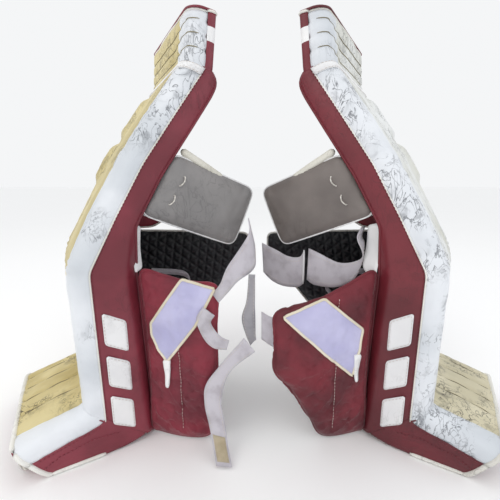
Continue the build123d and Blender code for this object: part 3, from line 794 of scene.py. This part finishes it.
def thigh_rise(side):
    foot = BREAK.moved(-0.006, THIGH_LEANS[-1])
    foot.roll -= 0.002
    foot.depth -= 0.002
    sections = [foot, RISE_FOOT, RISE_TIP]
    start = BREAK.at(np.array([(0, WIDTH / 2)]))[0]
    end = RISE_FOOT.at(np.array([(0, WIDTH / 2)]))[0] + np.array([0, 0, 0.012])
    grid, travel = lofted(sections, face_line, soften=1)
    w = across_of(grid)
    t = travel[:, None] + 0 * w
    lift = 0.0015 * rough(grid, 0.05) + 0.002 * np.sin(np.pi * w / WIDTH)
    ribs = (0.034, 0.058, 0.082)
    for rib in ribs:
        curve = 0.012 * np.clip((w - 0.02) / 0.05, 0, 1)
        lift -= 0.0035 * dent(t - rib + curve, 0.003)
    lift[-1] -= 0.003
    grid = grid + normals_of(grid) * lift[..., None]
    first = int(np.argmax(w[-1] > ROLL_EDGE))
    obj = skin(f"{side}_rise_face", side, grid, ["roll", f"face_{side}"], index=lambda r, c: int(c >= first))
    pieces = [(obj, "white_face", ("rise_face", "rise_core"))]
    for rib in ribs:
        cols = np.arange(3.0, grid.shape[1] - 3)
        wanted = rib - 0.012 * np.clip((w[0, 3:-3] - 0.02) / 0.05, 0, 1)
        line = grid_line(grid, np.interp(wanted, travel, np.arange(len(travel))), cols)
        # A thin dark tube along each rib groove: painted shade, not lace.
        rib_shade_line = tube(f"{side}_rise_rib_{round(rib * 1000)}", side, line, 0.0008, "groove", around=6)
        pieces.append((rib_shade_line, "lace", ()))
    edge_rows = []
    for part, name in (("medial", "rise_binding_medial"), ("lateral", "rise_binding_lateral"),
                       ("back", "rise_back")):
        part_grid, part_travel = lofted(sections, lambda s, p=part: back_line(s, True, p), soften=1)
        share = np.linspace(0, 1, part_grid.shape[1])[None, :]
        swell = 0.004 if part == "back" else 0.002
        part_grid = part_grid + normals_of(part_grid) * (swell * np.sin(np.pi * share)
                                                         + 0 * part_grid[..., 0])[..., None]
        white = (part_travel > 0.048) & (part_travel < 0.072)
        obj = skin(f"{side}_{name}", side, part_grid, [f"maroon_{side}", "white"],
                   index=lambda r, c, v=white: int(v[r]))
        pieces.append((obj, "maroon_panel", ("rise_binding",) if part == "medial" else ()))
        edge_rows.append(part_grid[-1])
    cap, shares = end_cap(RISE_TIP, True)
    out = np.array([-math.sin(RISE_LEAN), 0, math.cos(RISE_LEAN)])
    dome = np.array([0.0075 * math.sqrt(max(0, 1 - s * s)) for s in shares])
    cap = cap + out * dome[:, None, None]
    obj = skin(f"{side}_rise_cap", side, cap, [f"maroon_{side}"], outward=1)
    pieces.append((obj, "maroon_panel", ()))
    rim = np.vstack([grid[-1], edge_rows[1], edge_rows[2], edge_rows[0]])
    obj = tube(f"{side}_rise_piping", side, rim[::2], 0.0022, "binding", closed=True)
    pieces.append((obj, "white_binding", ()))
    for obj, slot, nodes in pieces:
        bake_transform(obj)
        if nodes:
            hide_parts(*[f"{side}_{n}" for n in nodes])


def break_band(side):
    sections = [BREAK.moved(-0.016, THIGH_LEANS[-1]), BREAK.moved(-0.001, THIGH_LEANS[-1])]
    grid, travel = lofted(sections, face_line, step=0.002, soften=0)
    bow = np.sin(np.pi * (travel / travel[-1]))[:, None]
    grid = grid + normals_of(grid) * (0.0018 + 0.0028 * bow + 0 * grid[..., 0])[..., None]
    obj = skin(f"{side}_break_band", side, grid, ["white"], thickness=0.002)
    attach(obj, f"{side}_pad", "white_face", f"{side}_break_band")
    for row, tag in ((1, "low"), (-2, "high")):
        line = grid[row] + normals_of(grid)[row] * 0.0004
        attach(stitches(f"{side}_band_stitches_{tag}", side, line), f"{side}_pad", "lace")


def boot(side):
    top = MAIN[0].moved(0.006, 0)
    top.roll -= 0.002
    top.depth -= 0.002
    top.lip = 0
    sections = [top] + BOOT
    start = MAIN[0].at(np.array([(0.01, WIDTH / 2)]))[0]
    end = BOOT_TOP.at(np.array([(0.01, WIDTH / 2)]))[0] + np.array([0.012, 0, -0.004])
    grid, travel = lofted(sections, face_line, step=0.004, soften=2)
    w = across_of(grid)
    t = travel[:, None] + 0 * w
    lift = 0.0012 * rough(grid, 0.045) + 0.0006 * rough(grid, 0.014, 2)
    grooves = (0.105, 0.150, 0.195, 0.240)
    for groove in grooves:
        lift -= 0.0042 * dent(w - groove - 0.004 * np.sin(t * 30), 0.0030)
    lift += 0.0035 * np.sin(np.pi * np.clip((w - ROLL_EDGE) / (WIDTH - ROLL_EDGE), 0, 1))
    lift -= 0.0035 * dent(w - ROLL_EDGE, 0.0035) * (w > 0.02)
    lift[-1] *= 0.3
    grid = grid + normals_of(grid) * (-lift)[..., None]
    first = int(np.argmax(w[-1] > ROLL_EDGE))
    obj = skin(f"{side}_boot_face", side, grid, ["roll", f"boot_{side}"], outward=-1,
               index=lambda r, c: int(c >= first))
    pieces = [(obj, "boot_face", ("boot_face", "boot_core"))]
    for groove in grooves:
        rows = np.arange(3, len(travel) - 2)
        cols = [np.interp(groove + 0.004 * math.sin(travel[r] * 30), w[r], np.arange(w.shape[1]))
                for r in rows]
        line = grid_line(grid, rows.astype(float), np.array(cols))
        # A thin dark tube along each boot groove: painted shade, not lace.
        groove_shade_line = tube(f"{side}_boot_groove_{round(groove * 1000)}", side, line, 0.0009, "groove",
                           around=6)
        pieces.append((groove_shade_line, "lace", ()))
    rims = {}
    for part, node, look, slot in (("medial", "boot_gusset_medial", f"maroon_{side}", "maroon_panel"),
                                   ("lateral", "boot_gusset_lateral", f"maroon_{side}", "maroon_panel"),
                                   ("back", "boot_sole", f"maroon_{side}", "maroon_panel")):
        part_grid, _ = lofted(sections, lambda s, p=part: back_line(s, False, p), step=0.004, soften=1)
        share = np.linspace(0, 1, part_grid.shape[1])[None, :]
        swell = 0.0 if part == "back" else 0.003
        lift = swell * np.sin(np.pi * share) + 0 * part_grid[..., 0]
        part_grid = part_grid - normals_of(part_grid) * lift[..., None]
        part_grid[..., 2] = np.maximum(part_grid[..., 2], 0.0003)
        obj = skin(f"{side}_{node}", side, part_grid, [look], outward=-1)
        nodes = {"medial": ("boot_gussets",), "back": ("boot_sole",)}.get(part, ())
        pieces.append((obj, slot, nodes))
        rims[part] = part_grid
    cap, shares = end_cap(BOOT[-1], False)
    out = np.array([math.sin(BOOT[-1].lean), 0, -math.cos(BOOT[-1].lean)])
    dome = np.array([0.005 * math.sqrt(max(0, 1 - s * s)) for s in shares])
    cap = cap + out * dome[:, None, None]
    cap[..., 2] = np.maximum(cap[..., 2], 0.0005)
    pieces.append((skin(f"{side}_toe_cap", side, cap, [f"maroon_{side}"], outward=-1), "white_binding",
                   ("toe_cap",)))
    rim = np.vstack([grid[-1], rims["lateral"][-1], rims["back"][-1], rims["medial"][-1]])
    rim[:, 2] = np.maximum(rim[:, 2], 0.0042)
    pieces.append((tube(f"{side}_toe_binding", side, rim[::2], 0.0040, "binding", closed=True),
                   "white_binding", ()))
    sole = rims["medial"][len(rims["medial"]) // 2:, 0].copy()
    sole[:, 2] = np.maximum(sole[:, 2], 0.0042)
    sole[:, 1] -= 0.001
    pieces.append((tube(f"{side}_sole_binding", side, sole, 0.0036, "binding"), "white_binding", ()))
    seam = rims["medial"][3:-1, -2] + np.array([0, -0.0012, 0])
    pieces.append((stitches(f"{side}_boot_stitches", side, seam, f"nylon_{side}"), "lace", ()))
    middle = rims["medial"][3:-1]
    arc = np.array([middle[i, int(8 + 4 * math.sin(math.pi * i / len(middle)))] for i in range(len(middle))])
    pieces.append((stitches(f"{side}_gusset_stitches", side, arc + np.array([0, -0.0012, 0]),
                            f"nylon_{side}"), "lace", ()))
    for obj, slot, nodes in pieces:
        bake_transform(obj)
        if nodes:
            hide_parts(*[f"{side}_{n}" for n in nodes])


def seams(side, face, backs):
    """End panels, and piping and stitching along the edges of the covers."""
    for name, section, way in (("top", BREAK, 1), ("ankle", MAIN[0], -1)):
        held = section.moved(-0.001 * way, section.lean)
        held.roll -= 0.007
        held.depth -= 0.001
        cap, shares = end_cap(held, True)
        out = np.array([-math.sin(section.lean), 0, math.cos(section.lean)]) * way
        dome = np.array([0.001 * math.sqrt(max(0, 1 - s * s)) for s in shares])
        cap = cap + out * dome[:, None, None]
        obj = skin(f"{side}_{name}_panel", side, cap, [f"maroon_{side}"], outward=way)
        attach(obj, f"{side}_pad", "maroon_panel")
    for name, line in (("medial", face[:, 0]), ("lateral", face[:, -1])):
        attach(tube(f"{side}_{name}_piping", side, line, 0.0015, "binding"), f"{side}_pad", "white_binding")
    line = 0.6 * backs["medial"][:, -1] + 0.4 * backs["medial"][:, -2] + np.array([0, -0.0012, 0])
    attach(stitches(f"{side}_medial_stitches", side, line, f"nylon_{side}"), f"{side}_pad", "maroon_panel")
    line = 0.6 * backs["lateral"][:, 0] + 0.4 * backs["lateral"][:, 1] + np.array([0, 0.0012, 0])
    attach(stitches(f"{side}_lateral_stitches", side, line, f"nylon_{side}"), f"{side}_pad", "maroon_panel")
    attach(tube(f"{side}_ridge_piping", side, backs["medial"][:, 0], 0.0026, f"maroon_{side}"),
           f"{side}_pad", "maroon_panel")
    attach(tube(f"{side}_far_ridge_piping", side, backs["lateral"][:, -1], 0.0026, f"maroon_{side}"),
           f"{side}_pad", "maroon_panel")


KNEE_TAB = {
    "right": [(0.209, 0.431), (0.190, 0.424), (0.192, 0.346), (0.207, 0.340)],
    "left": [(0.206, 0.433), (0.176, 0.424), (0.170, 0.345), (0.197, 0.309)],
}


def knee_tab(side):
    """The white leather tab at the back of the knee gusset."""
    tab = Plate(rounded(KNEE_TAB[side], 0.005), 0.0018, 0.004, 0.4, 0.003)
    solid = tab.solid(0.016)
    solid[:, 1] += 0.006 * np.sin(solid[:, 2] * 70) + (0.205 - solid[:, 0]) * 0.5
    obj = build(f"{side}_knee_tab", side, solid, sum(tab.faces(), []), ["white"])
    attach(obj, f"{side}_pad", "white_panel")


def side_bars(side):
    """Plain slanted bars sewn flat on the medial gusset."""
    front = ANKLE[0] - 0.012
    for i in range(3):
        foot = ANKLE[1] - 0.008 + i * 0.080
        corners = [(front, foot), (front, foot + 0.060), (front - 0.038, foot + 0.038),
                   (front - 0.038, foot - 0.022)]
        plate = Plate(rounded(corners[::-1], 0.006), 0.0016, 0.004, 0.3, 0.004)
        obj = build(f"{side}_side_bar_{i}", side, plate.solid(-0.0035), sum(plate.faces(), []), ["white"])
        attach(obj, f"{side}_pad", "white_panel", *([f"{side}_side_bars"] if i == 0 else []))
        inset = Plate(rounded(corners[::-1], 0.006), 0.001, 0.004, 0.3, 0.004).loop
        centre = inset.mean(0)
        ring = centre + (inset - centre) * 0.90
        line = np.stack([ring[:, 0], np.full(len(ring), -0.0052), ring[:, 1]], -1)
        attach(stitches(f"{side}_bar_stitches_{i}", side, np.vstack([line, line[:1]])), f"{side}_pad", "lace")


# ------------------------------------------------------------ knee block
def thigh_back(distance, off):
    """A point up the back of the thigh from the knee, standing off it."""
    index = min(int(distance // THIGH_RUN), 3)
    seam, lean = MAIN[1 + index].seam, THIGH_LEANS[index]
    seam = along(seam, distance - index * THIGH_RUN, lean)
    back = 0.036 + off
    return np.array([seam[0] - back * math.cos(lean), seam[1] - back * math.sin(lean)])


def knee_block(side):
    foot, head = thigh_back(0.128, 0.001), thigh_back(0.252, 0.001)
    up = (head - foot) / np.linalg.norm(head - foot)
    out = np.array([-up[1], up[0]])
    free_head = head + out * 0.171 + up * 0.030
    free_foot = foot + out * 0.187 + up * 0.030
    outline = rounded([foot, free_foot, free_head, head], 0.018)
    body = f"{side}_block"
    plate = Plate(outline, BLOCK_THICK / 2, 0.017, 0.62, 0.005)
    flat3 = np.stack([plate.flat[:, 0], plate.flat[:, 0] * 0, plate.flat[:, 1]], -1)
    plate.front += (np.minimum(plate.inside / 0.05, 1) * 0.0035
                    + 0.0016 * rough(flat3, 0.05) * np.minimum(plate.inside / 0.02, 1))
    middle = (foot + free_head) / 2
    ripple = (flat3[:, 0] - middle[0]) * out[0] + (flat3[:, 2] - middle[1]) * out[1]
    plate.front -= 0.0012 * dent(np.abs(ripple) - 0.062, 0.006) * np.minimum(plate.inside / 0.02, 1)
    solid = plate.solid(BLOCK_THICK / 2)
    centre = (foot + free_head) / 2
    flare = solid[plate.count:]
    outward = np.clip((flare[:, 0] - centre[0]) * out[0] + (flare[:, 2] - centre[1]) * out[1], 0, None)
    flare[:, 0] += 0.09 * outward * out[0]
    flare[:, 2] += 0.09 * outward * out[1]
    front, back, wall = plate.faces()
    solid = puffed(solid, front + back + wall, 0.006)
    face = build(f"{side}_block_face", side, solid[:plate.count], front, [f"grey_{side}"])
    attach(face, body, "grey_landing", f"{side}_block_face", f"{side}_block_core", fill=0.9)
    gusset = build(f"{side}_block_gusset", side, solid, wall + back, ["gusset"])
    attach(gusset, body, "white_gusset", f"{side}_block_gusset", fill=0.8)
    for tag, line in (("front", solid[:plate.rim_size]), ("back", solid[plate.count:][:plate.rim_size])):
        attach(tube(f"{side}_block_piping_{tag}", side, line, 0.0019, "white", closed=True), body,
               "white_panel")
    rise = up * 0.0140
    start, end = head + rise + out * 0.008, head + rise + out * 0.100
    spine = np.array([[*(start + (end - start) * t), 0.008 + 0.0008 * math.sin(9 * t)]
                      for t in np.linspace(0, 1, 26)])
    spine = spine[:, [0, 2, 1]]
    spine[:, 1] += 0.004
    attach(tube(f"{side}_block_tube", side, spine, 0.0072, "gusset", around=14), body, "white_gusset",
           f"{side}_block_tube", fill=1.0)
    nodes = [f"{side}_block_laces"]
    for share in (0.3, 0.62):
        centre = head + (foot - head) * share + out * 0.030
        low, high = centre - up * 0.009, centre + up * 0.009
        bow = [(*low, 0.004), (*(low + out * 0.001), -0.003), (*(centre + out * 0.003), -0.0065),
               (*(high + out * 0.001), -0.003), (*high, 0.004)]
        path = smooth_line(np.array(bow), 0.0015)[:, [0, 2, 1]]
        path[:, 1] += over(solid[:plate.count], path, 0.0)[:, 1] - 0.0005
        attach(tube(f"{side}_block_lace_{int(share * 100)}", side, path, 0.0011, "lace"), body, "lace",
               *nodes)
        nodes = []


# ------------------------------------------------------------ wraps and wings
WRAP = {
    "right": [(0.202, 0.012), (0.202, 0.342), (0.060, 0.318), (0.060, 0.054), (0.084, 0.012)],
    "left": [(0.202, 0.012), (0.202, 0.342), (0.018, 0.264), (0.018, 0.152), (0.110, 0.012)],
}
PATCH = {
    "right": [(0.120, 0.334), (0.063, 0.316), (0.098, 0.248), (0.155, 0.174), (0.184, 0.222), (0.184, 0.246)],
    "left": [(0.032, 0.262), (0.105, 0.298), (0.181, 0.235), (0.165, 0.142)],
}
TAB = {"right": (0.162, 0.178), "left": (0.178, 0.188)}


def swung(points):
    return swing(points, WRAP_FOLD, 0.0, WRAP_OPEN)


def calf_wrap(side):
    body = f"{side}_wrap"
    plate = Plate(rounded(WRAP[side], 0.016), 0.006, 0.012, 0.35, 0.0045)
    flat3 = np.stack([plate.flat[:, 0], plate.flat[:, 0] * 0, plate.flat[:, 1]], -1)
    free = np.minimum(plate.inside / 0.02, 1)
    folds = rough(flat3 * np.array([1.0, 1, 2.2]), 0.05, 4)
    creases = np.abs(rough(flat3 * np.array([2.0, 1, 1.0]), 0.045, 3))
    plate.front += free * (0.0025 + 0.0035 * folds - 0.0030 * dent(creases, 0.10))
    plate.front -= 0.003 * dent(plate.flat[:, 0] - 0.128, 0.0025) * free
    plate.back += free * 0.002
    solid = plate.solid(0.006)
    solid[:, 1] -= 0.010 * np.sin(np.clip((0.186 - solid[:, 0]) / 0.14, 0, 1) * np.pi)
    faces = sum(plate.faces(), [])
    solid = puffed(solid, faces, 0.005, 0.06)
    front = solid[:plate.count]
    slant = np.stack([(front[:, 0] + front[:, 2]) * 0.6, front[:, 0] * 0, (front[:, 2] - front[:, 0]) * 2.4],
                     -1)
    ridge = 1 - np.minimum(np.abs(rough(slant, 0.08, 3)) / 0.22, 1)
    front[:, 1] -= 0.0042 * ridge * free * np.clip((0.24 - front[:, 2]) / 0.08, 0.25, 1)
    obj = build(f"{side}_calf_wrap", side, swung(solid), faces, [f"nylon_{side}"])
    attach(obj, body, "maroon_nylon", f"{side}_calf_wrap", fill=0.55)
    line = (solid[:plate.rim_size] + solid[plate.count:][:plate.rim_size]) / 2
    attach(tube(f"{side}_wrap_binding", side, swung(line), 0.0030, f"nylon_{side}", closed=True), body,
           "maroon_nylon")
    z = np.linspace(0.026, 0.316 if side == "right" else 0.300, 120)
    line = over(front, np.stack([z * 0 + 0.131, z * 0, z], -1), 0.0006)
    attach(stitches(f"{side}_wrap_stitches", side, swung(line)), body, "lace")
    patch = Plate(rounded(PATCH[side], 0.004), 0.0008, 0.004, 0.4, 0.004)
    solid = covered(patch, front, 0.0016)
    obj = build(f"{side}_loop_patch", side, swung(solid), sum(patch.faces(), []), ["loop"])
    attach(obj, body, "loop_fabric", f"{side}_loop_patch")
    line = solid[:patch.rim_size]
    attach(tube(f"{side}_patch_binding", side, swung(line), 0.0026, "cream", closed=True), body,
           "white_binding")
    x, z = TAB[side]
    tab = Plate(rounded([(x, z), (x - 0.014, z), (x - 0.009, z - 0.056), (x - 0.003, z - 0.056)], 0.003),
                0.0008, 0.003, 0.4, 0.003)
    solid = covered(tab, front, 0.0042)
    obj = build(f"{side}_patch_tab", side, swung(solid), sum(tab.faces(), []), ["white"])
    attach(obj, body, "white_panel", f"{side}_patch_tab")
    wrap_hinge(side)


def wrap_hinge(side):
    """The nylon that joins the wrap to the back ridge of the pad."""
    low, high = (v.at(np.array([(-v.depth - v.lip, v.lip)]))[0] for v in MAIN[:2])
    rows = []
    for z in np.linspace(0.030, 0.330, 40):
        start = low + (high - low) * (z - low[2]) / (high[2] - low[2])
        end = swung(np.array([0.190, 0.006, z]))
        bulge = np.array([-0.005 - 0.001 * math.sin(40 * z), 0.002, 0])
        rows.append([start + (end - start) * t + bulge * math.sin(math.pi * t) for t in np.linspace(0, 1, 9)])
    grid = np.array(rows)
    obj = skin(f"{side}_wrap_hinge", side, grid, [f"nylon_{side}"], thickness=0.002)
    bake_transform(obj)


def quilted(flat, inside, pitch=0.023, depth=0.0048):
    """How far triangle quilting pulls each point in."""
    pull = np.zeros(len(flat))
    for turn in (0, 60, 120):
        c, s = math.cos(math.radians(turn + 8)), math.sin(math.radians(turn + 8))
        at = (flat[:, 0] * c + flat[:, 1] * s) / (pitch * 0.87)
        off = np.abs(at - np.round(at)) * pitch * 0.87
        pull = np.maximum(pull, np.exp(-off / 0.0024))
    return depth * pull * np.minimum(inside / 0.006, 1)


def calf_wing(side):
    body = f"{side}_wing"
    front = SPREAD - WING_FOLD
    rear = front - 0.285
    outline = [(front, 0.062), (front, 0.388), (rear, 0.378), (rear, 0.330),
               (front - 0.150, 0.162), (front - 0.075, 0.062)]
    turned = lambda p: swing(p, WING_FOLD, WING_FAR, WING_CURL)
    curl = lambda x: 0.012 * np.sin(np.clip((front - x) / 0.285, 0, 1) * np.pi)
    shell = Plate(rounded(outline, 0.014), WING_THICK / 2, 0.012, 0.4, 0.006)
    flat3 = np.stack([shell.flat[:, 0], shell.flat[:, 0] * 0, shell.flat[:, 1]], -1)
    shell.back += 0.003 * rough(flat3, 0.06) * np.minimum(shell.inside / 0.02, 1)
    solid = shell.solid(WING_FAR - WING_THICK / 2)
    solid[:, 1] += curl(solid[:, 0])
    faces = sum(shell.faces(), [])
    solid = puffed(solid, faces, 0.004)
    inner = solid[:shell.count]
    obj = build(f"{side}_calf_wing", side, turned(solid), faces, [f"nylon_{side}"])
    attach(obj, body, "maroon_nylon", f"{side}_calf_wing", fill=0.6)
    lining = Plate(rounded(outline, 0.014), 0.0055, 0.006, 0.3, 0.0032)
    lining.front -= quilted(lining.flat, lining.inside)
    points = covered(lining, inner, 0.0005)
    obj = build(f"{side}_wing_lining", side, turned(points), sum(lining.faces(), []), ["quilt"])
    attach(obj, body, "black_lining", f"{side}_wing_lining", fill=0.5)
    line = points[:lining.rim_size]
    attach(tube(f"{side}_wing_piping", side, turned(line), 0.0026, "binding", closed=True), body,
           "white_binding")
    for tag, corners in (("ribbon", [(0.128, 0.289), (0.052, 0.280), (0.036, 0.250), (0.052, 0.226)]),
                         ("loop", [(0.122, 0.252), (0.112, 0.262), (0.098, 0.252), (0.094, 0.232)])):
        path = smooth_line(np.array([(x, WING_FAR - 0.026, z) for x, z in corners]), 0.004)
        path[:, 1] += curl(path[:, 0]) - 0.004 * np.sin(np.linspace(0, np.pi, len(path)))
        half = np.array([0, 0, 0.007 if tag == "ribbon" else 0.003])
        grid = np.stack([turned(path - half), turned(path), turned(path + half)], 1)
        obj = skin(f"{side}_wing_{tag}", side, grid, ["webbing" if tag == "ribbon" else "lace"],
                   thickness=0.0014)
        attach(obj, body, "webbing")


def knee_wing(side):
    front = SPREAD - WING_FOLD
    outline = [(front, 0.390), (front - 0.034, 0.460), (front - 0.112, 0.460), (front - 0.124, 0.425),
               (front - 0.056, 0.390)]
    plate = Plate(rounded(outline, 0.010), 0.0055, 0.010, 0.4, 0.005)
    flat3 = np.stack([plate.flat[:, 0], plate.flat[:, 0] * 0, plate.flat[:, 1]], -1)
    plate.front += 0.0015 * rough(flat3, 0.04) * np.minimum(plate.inside / 0.015, 1)
    obj = build(f"{side}_knee_wing", side, plate.solid(0.2565), sum(plate.faces(), []), [f"nylon_{side}"])
    attach(obj, f"{side}_knee_wing", "maroon_nylon", f"{side}_knee_wing", fill=0.6)
    edge = plate.loop
    line = np.stack([edge[:, 0], np.full(len(edge), 0.2515), edge[:, 1]], -1)
    attach(tube(f"{side}_knee_wing_piping", side, line, 0.0022, "binding", closed=True), f"{side}_knee_wing",
           "white_binding")


# ------------------------------------------------------------ straps, in millimetres as the CAD has them
KNEE_BAND = [((9, 60, 435), (-3, 60, 383)), ((9, 45, 403), (-4, 45, 344)), ((42, 14, 353), (25, 14, 323)),
             ((54, -2, 324), (39, -2, 309)), ((68, -8, 307), (56, -8, 290))]
KNEE_FOLD = [((83, -17, 285), (62, -16, 269)), ((95, -20, 262), (69, -18, 256)),
             ((83, -20, 226), (60, -18, 239)),
             ((65, -19, 208), (48, -17, 227)), ((42, -17, 204), (37, -16, 222))]
CALF_STRAP = [((11, -12, 226), (-9, -12, 200)), ((55, -18, 173), (37, -18, 159)),
              ((82, -22, 133), (52, -22, 107)),
              ((84, -26, 98), (50, -26, 81)), ((75, -34, 59), (43, -34, 51)), ((64, -52, 30), (35, -52, 26)),
              ((55, -70, 7), (26, -70, 7))]
PADDED_STRAP = [((6, 24, 334), (-6, 24, 334)), ((8, 24, 305), (-6, 24, 306)), ((11, 22, 280), (-6, 22, 281)),
                ((19, 20, 250), (-7, 20, 252)), ((11, 16, 218), (-7, 16, 223)), ((2, 12, 199), (-7, 12, 211))]
LEFT_KNEE_BAND = [((62, 25, 368), (60, 25, 301)), ((81, 22, 363), (80, 22, 293)),
                  ((123, 20, 348), (124, 20, 297)),
                  ((156, 18, 353), (162, 18, 324)), ((171, 22, 366), (171, 34, 384)),
                  ((163, 10, 398), (163, 44, 400)),
                  ((168, 8, 420), (168, 44, 420))]
LEFT_STRAP_END = [((-56, 40, 366), (-52, 40, 298)), ((-21, 32, 357), (-25, 32, 283)),
                  ((14, 24, 347), (9, 24, 279)),
                  ((44, 20, 349), (41, 20, 283)), ((55, 18, 365), (55, 18, 293))]
INNER_STRAP = [((60, 13.4, 250), (60, 13.4, 188)), ((30, 14.5, 252), (30, 14.5, 190)),
               ((12, 20, 254), (12, 20, 196)), ((-4, 26, 262), (-4, 26, 206))]


def strap(name, side, rows, look, turned=False, across=9, thickness=0.0018):
    """A soft strap through pairs of edge points, with a bound edge down each side."""
    table = np.array(rows, float) / 1000
    one, two = (smooth_line(table[:, k], 0.0035) for k in (0, 1))
    count = max(len(one), len(two))
    one, two = same_count([one, two])
    shares = np.linspace(0, 1, across)
    grid = np.array([one + (two - one) * s for s in shares]).transpose(1, 0, 2)
    if turned:
        grid = swung(grid)
    normal = normals_of(grid)
    travel = np.arange(count)[:, None] * 0.0035
    sag = 0.0010 * np.sin(np.pi * shares)[None, :] + 0.0009 * np.sin(travel / 0.011 + 2 * shares[None, :])
    ease = np.clip(np.minimum(travel, travel[::-1]) / 0.02, 0, 1)
    grid = grid + normal * (sag * ease)[..., None]
    body = f"{side}_wrap" if turned else f"{side}_pad"
    obj = skin(name, side, grid, [look], thickness=thickness)
    normal = normals_of(grid)
    for row in (1, across - 2):
        line = grid[:, row] + normal[:, row] * 0.0004
        attach(stitches(f"{name}_stitches_{row}", side, line, "thread", 0.006, 0.0042, 0.0005), body, "lace")
    attach(obj, body, "webbing")
    return obj, grid, normal


def straps():
    obj, _, _ = strap("right_knee_band", "right", KNEE_BAND, "webbing", True)
    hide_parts("right_knee_band")
    strap("right_knee_band_fold", "right", KNEE_FOLD, "webbing", True)
    obj, grid, normal = strap("right_calf_strap", "right", CALF_STRAP, "webbing", True)
    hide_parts("right_calf_strap")
    low, high = int(len(grid) * 0.80), int(len(grid) * 0.975)
    hook = skin("right_strap_hook", "right", (grid + normal * 0.0008)[low:high, 1:-1], ["hook"],
                thickness=0.001)
    attach(hook, "right_wrap", "webbing")
    obj, _, _ = strap("right_padded_strap", "right", PADDED_STRAP, "grey_web", True, thickness=0.0045)
    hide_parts("right_padded_strap")
    obj, _, _ = strap("left_knee_band", "left", LEFT_KNEE_BAND, "webbing")
    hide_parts("left_knee_band")
    obj, grid, _ = strap("left_strap_end", "left", LEFT_STRAP_END, "webbing")
    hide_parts("left_strap_end")
    attach(tube("left_strap_end_binding", "left", grid[-1], 0.0022, "white"), "left_pad", "white_binding")
    obj, _, _ = strap("left_inner_strap", "left", INNER_STRAP, "webbing", True)
    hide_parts("left_inner_strap")


# ------------------------------------------------------------ toe ties
# Route points in the row frame, as the CAD has them.
TOE_TIES = {
    "left": [(0.4638, -0.06, 0.024), (0.4732, -0.0654, 0.0151), (0.4858, -0.0612, 0.015),
             (0.5008, -0.0433, 0.009),
             (0.5136, -0.0195, 0.008), (0.5211, 0.0016, 0.014), (0.5192, 0.0142, 0.0151),
             (0.5098, 0.0196, 0.024)],
    "right": [(-0.4478, -0.0878, 0.024), (-0.4572, -0.0932, 0.0151), (-0.4633, -0.1082, 0.015),
              (-0.4565, -0.132, 0.009), (-0.4427, -0.1587, 0.007), (-0.4237, -0.1812, 0.008),
              (-0.4081, -0.1941, 0.014), (-0.3972, -0.1971, 0.0151), (-0.3878, -0.1917, 0.024)],
}
TIE_DIAMETER = 0.007


def toe_tie(side):
    """The loop of braided cord at the toe, on one smooth line."""
    curve = bpy.data.curves.new(f"{side}_toe_tie", "CURVE")
    curve.dimensions = "3D"
    spline = curve.splines.new("NURBS")
    route = TOE_TIES[side]
    spline.points.add(len(route) - 1)
    for point, at in zip(spline.points, route):
        point.co = (*at, 1)
    spline.order_u = 3
    spline.use_endpoint_u = True
    spline.resolution_u = 12
    curve.bevel_depth = TIE_DIAMETER / 2
    curve.bevel_resolution = 5
    curve.use_fill_caps = True
    curve.materials.append(LOOKS["cord"])
    obj = bpy.data.objects.new(f"{side}_toe_tie_made", curve)
    bpy.context.scene.collection.objects.link(obj)
    attach(obj, f"{side}_boot", "braided_cord", f"{side}_toe_tie")


# ------------------------------------------------------------ stage, light and camera
FLOOR_SIZE = 60
LENS, SENSOR, SHIFT = 23.04, 36, -0.0158  # millimetres, millimetres, share of the width
EYE_BACK, EYE_HEIGHT = 0.5105, 0.501
PITCH = 12  # degrees down


def studio():
    """A wide pale floor, a pale sky and three soft area lights."""
    bpy.ops.mesh.primitive_plane_add(size=FLOOR_SIZE, location=(0, 0, 0))
    floor = bpy.context.object
    floor.name = "studio_floor"
    look = Look("studio_white", 0.9)
    look.colour(look.mix(look.noise(2, 2), rgb(252, 252, 252), rgb(250, 250, 250)))
    floor.data.materials.append(look.material)
    world = bpy.data.worlds.new("studio")
    world.use_nodes = True
    world.node_tree.nodes["Background"].inputs["Color"].default_value = (0.98, 0.99, 1.0, 1)
    world.node_tree.nodes["Background"].inputs["Strength"].default_value = 0.93
    bpy.context.scene.world = world
    for name, at, aim, size, power, tint in (
        ("key", (-1.5, -1.6, 2.3), (0, 0, 0.35), 1.6, 13, (1.0, 0.96, 0.90)),
        ("fill", (1.8, -1.4, 1.6), (0, 0, 0.35), 1.8, 6, (0.93, 0.96, 1.0)),
        ("top", (0.0, 0.6, 2.6), (0, 0, 0.3), 2.0, 6, (1, 1, 1)),
    ):
        data = bpy.data.lights.new(name, "AREA")
        data.size, data.energy, data.color = size, power, tint
        lamp = bpy.data.objects.new(name, data)
        lamp.location = at
        lamp.rotation_euler = (Vector(aim) - Vector(at)).to_track_quat("-Z", "Y").to_euler()
        bpy.context.scene.collection.objects.link(lamp)
    bpy.context.scene.view_settings.view_transform = "Standard"


def camera():
    """The eye in front of the pair, between the pads."""
    data = bpy.data.cameras.new("view")
    data.lens = LENS
    data.sensor_width = SENSOR
    data.shift_x = SHIFT
    data.clip_start = 0.05
    eye = bpy.data.objects.new("view", data)
    eye.location = (0, -EYE_BACK - MIDDLE, EYE_HEIGHT)
    eye.rotation_euler = (math.radians(90 - PITCH), 0, 0)
    bpy.context.scene.collection.objects.link(eye)
    bpy.context.scene.camera = eye


camera()
for side in SIDES:
    toe_tie(side)
studio()
for side in SIDES:
    face = main_face(side)
    backs = main_back(side)
    seams(side, face, backs)
    thigh_rise(side)
    break_band(side)
    boot(side)
    side_bars(side)
    knee_tab(side)
    knee_block(side)
    calf_wrap(side)
    calf_wing(side)
    knee_wing(side)
straps()
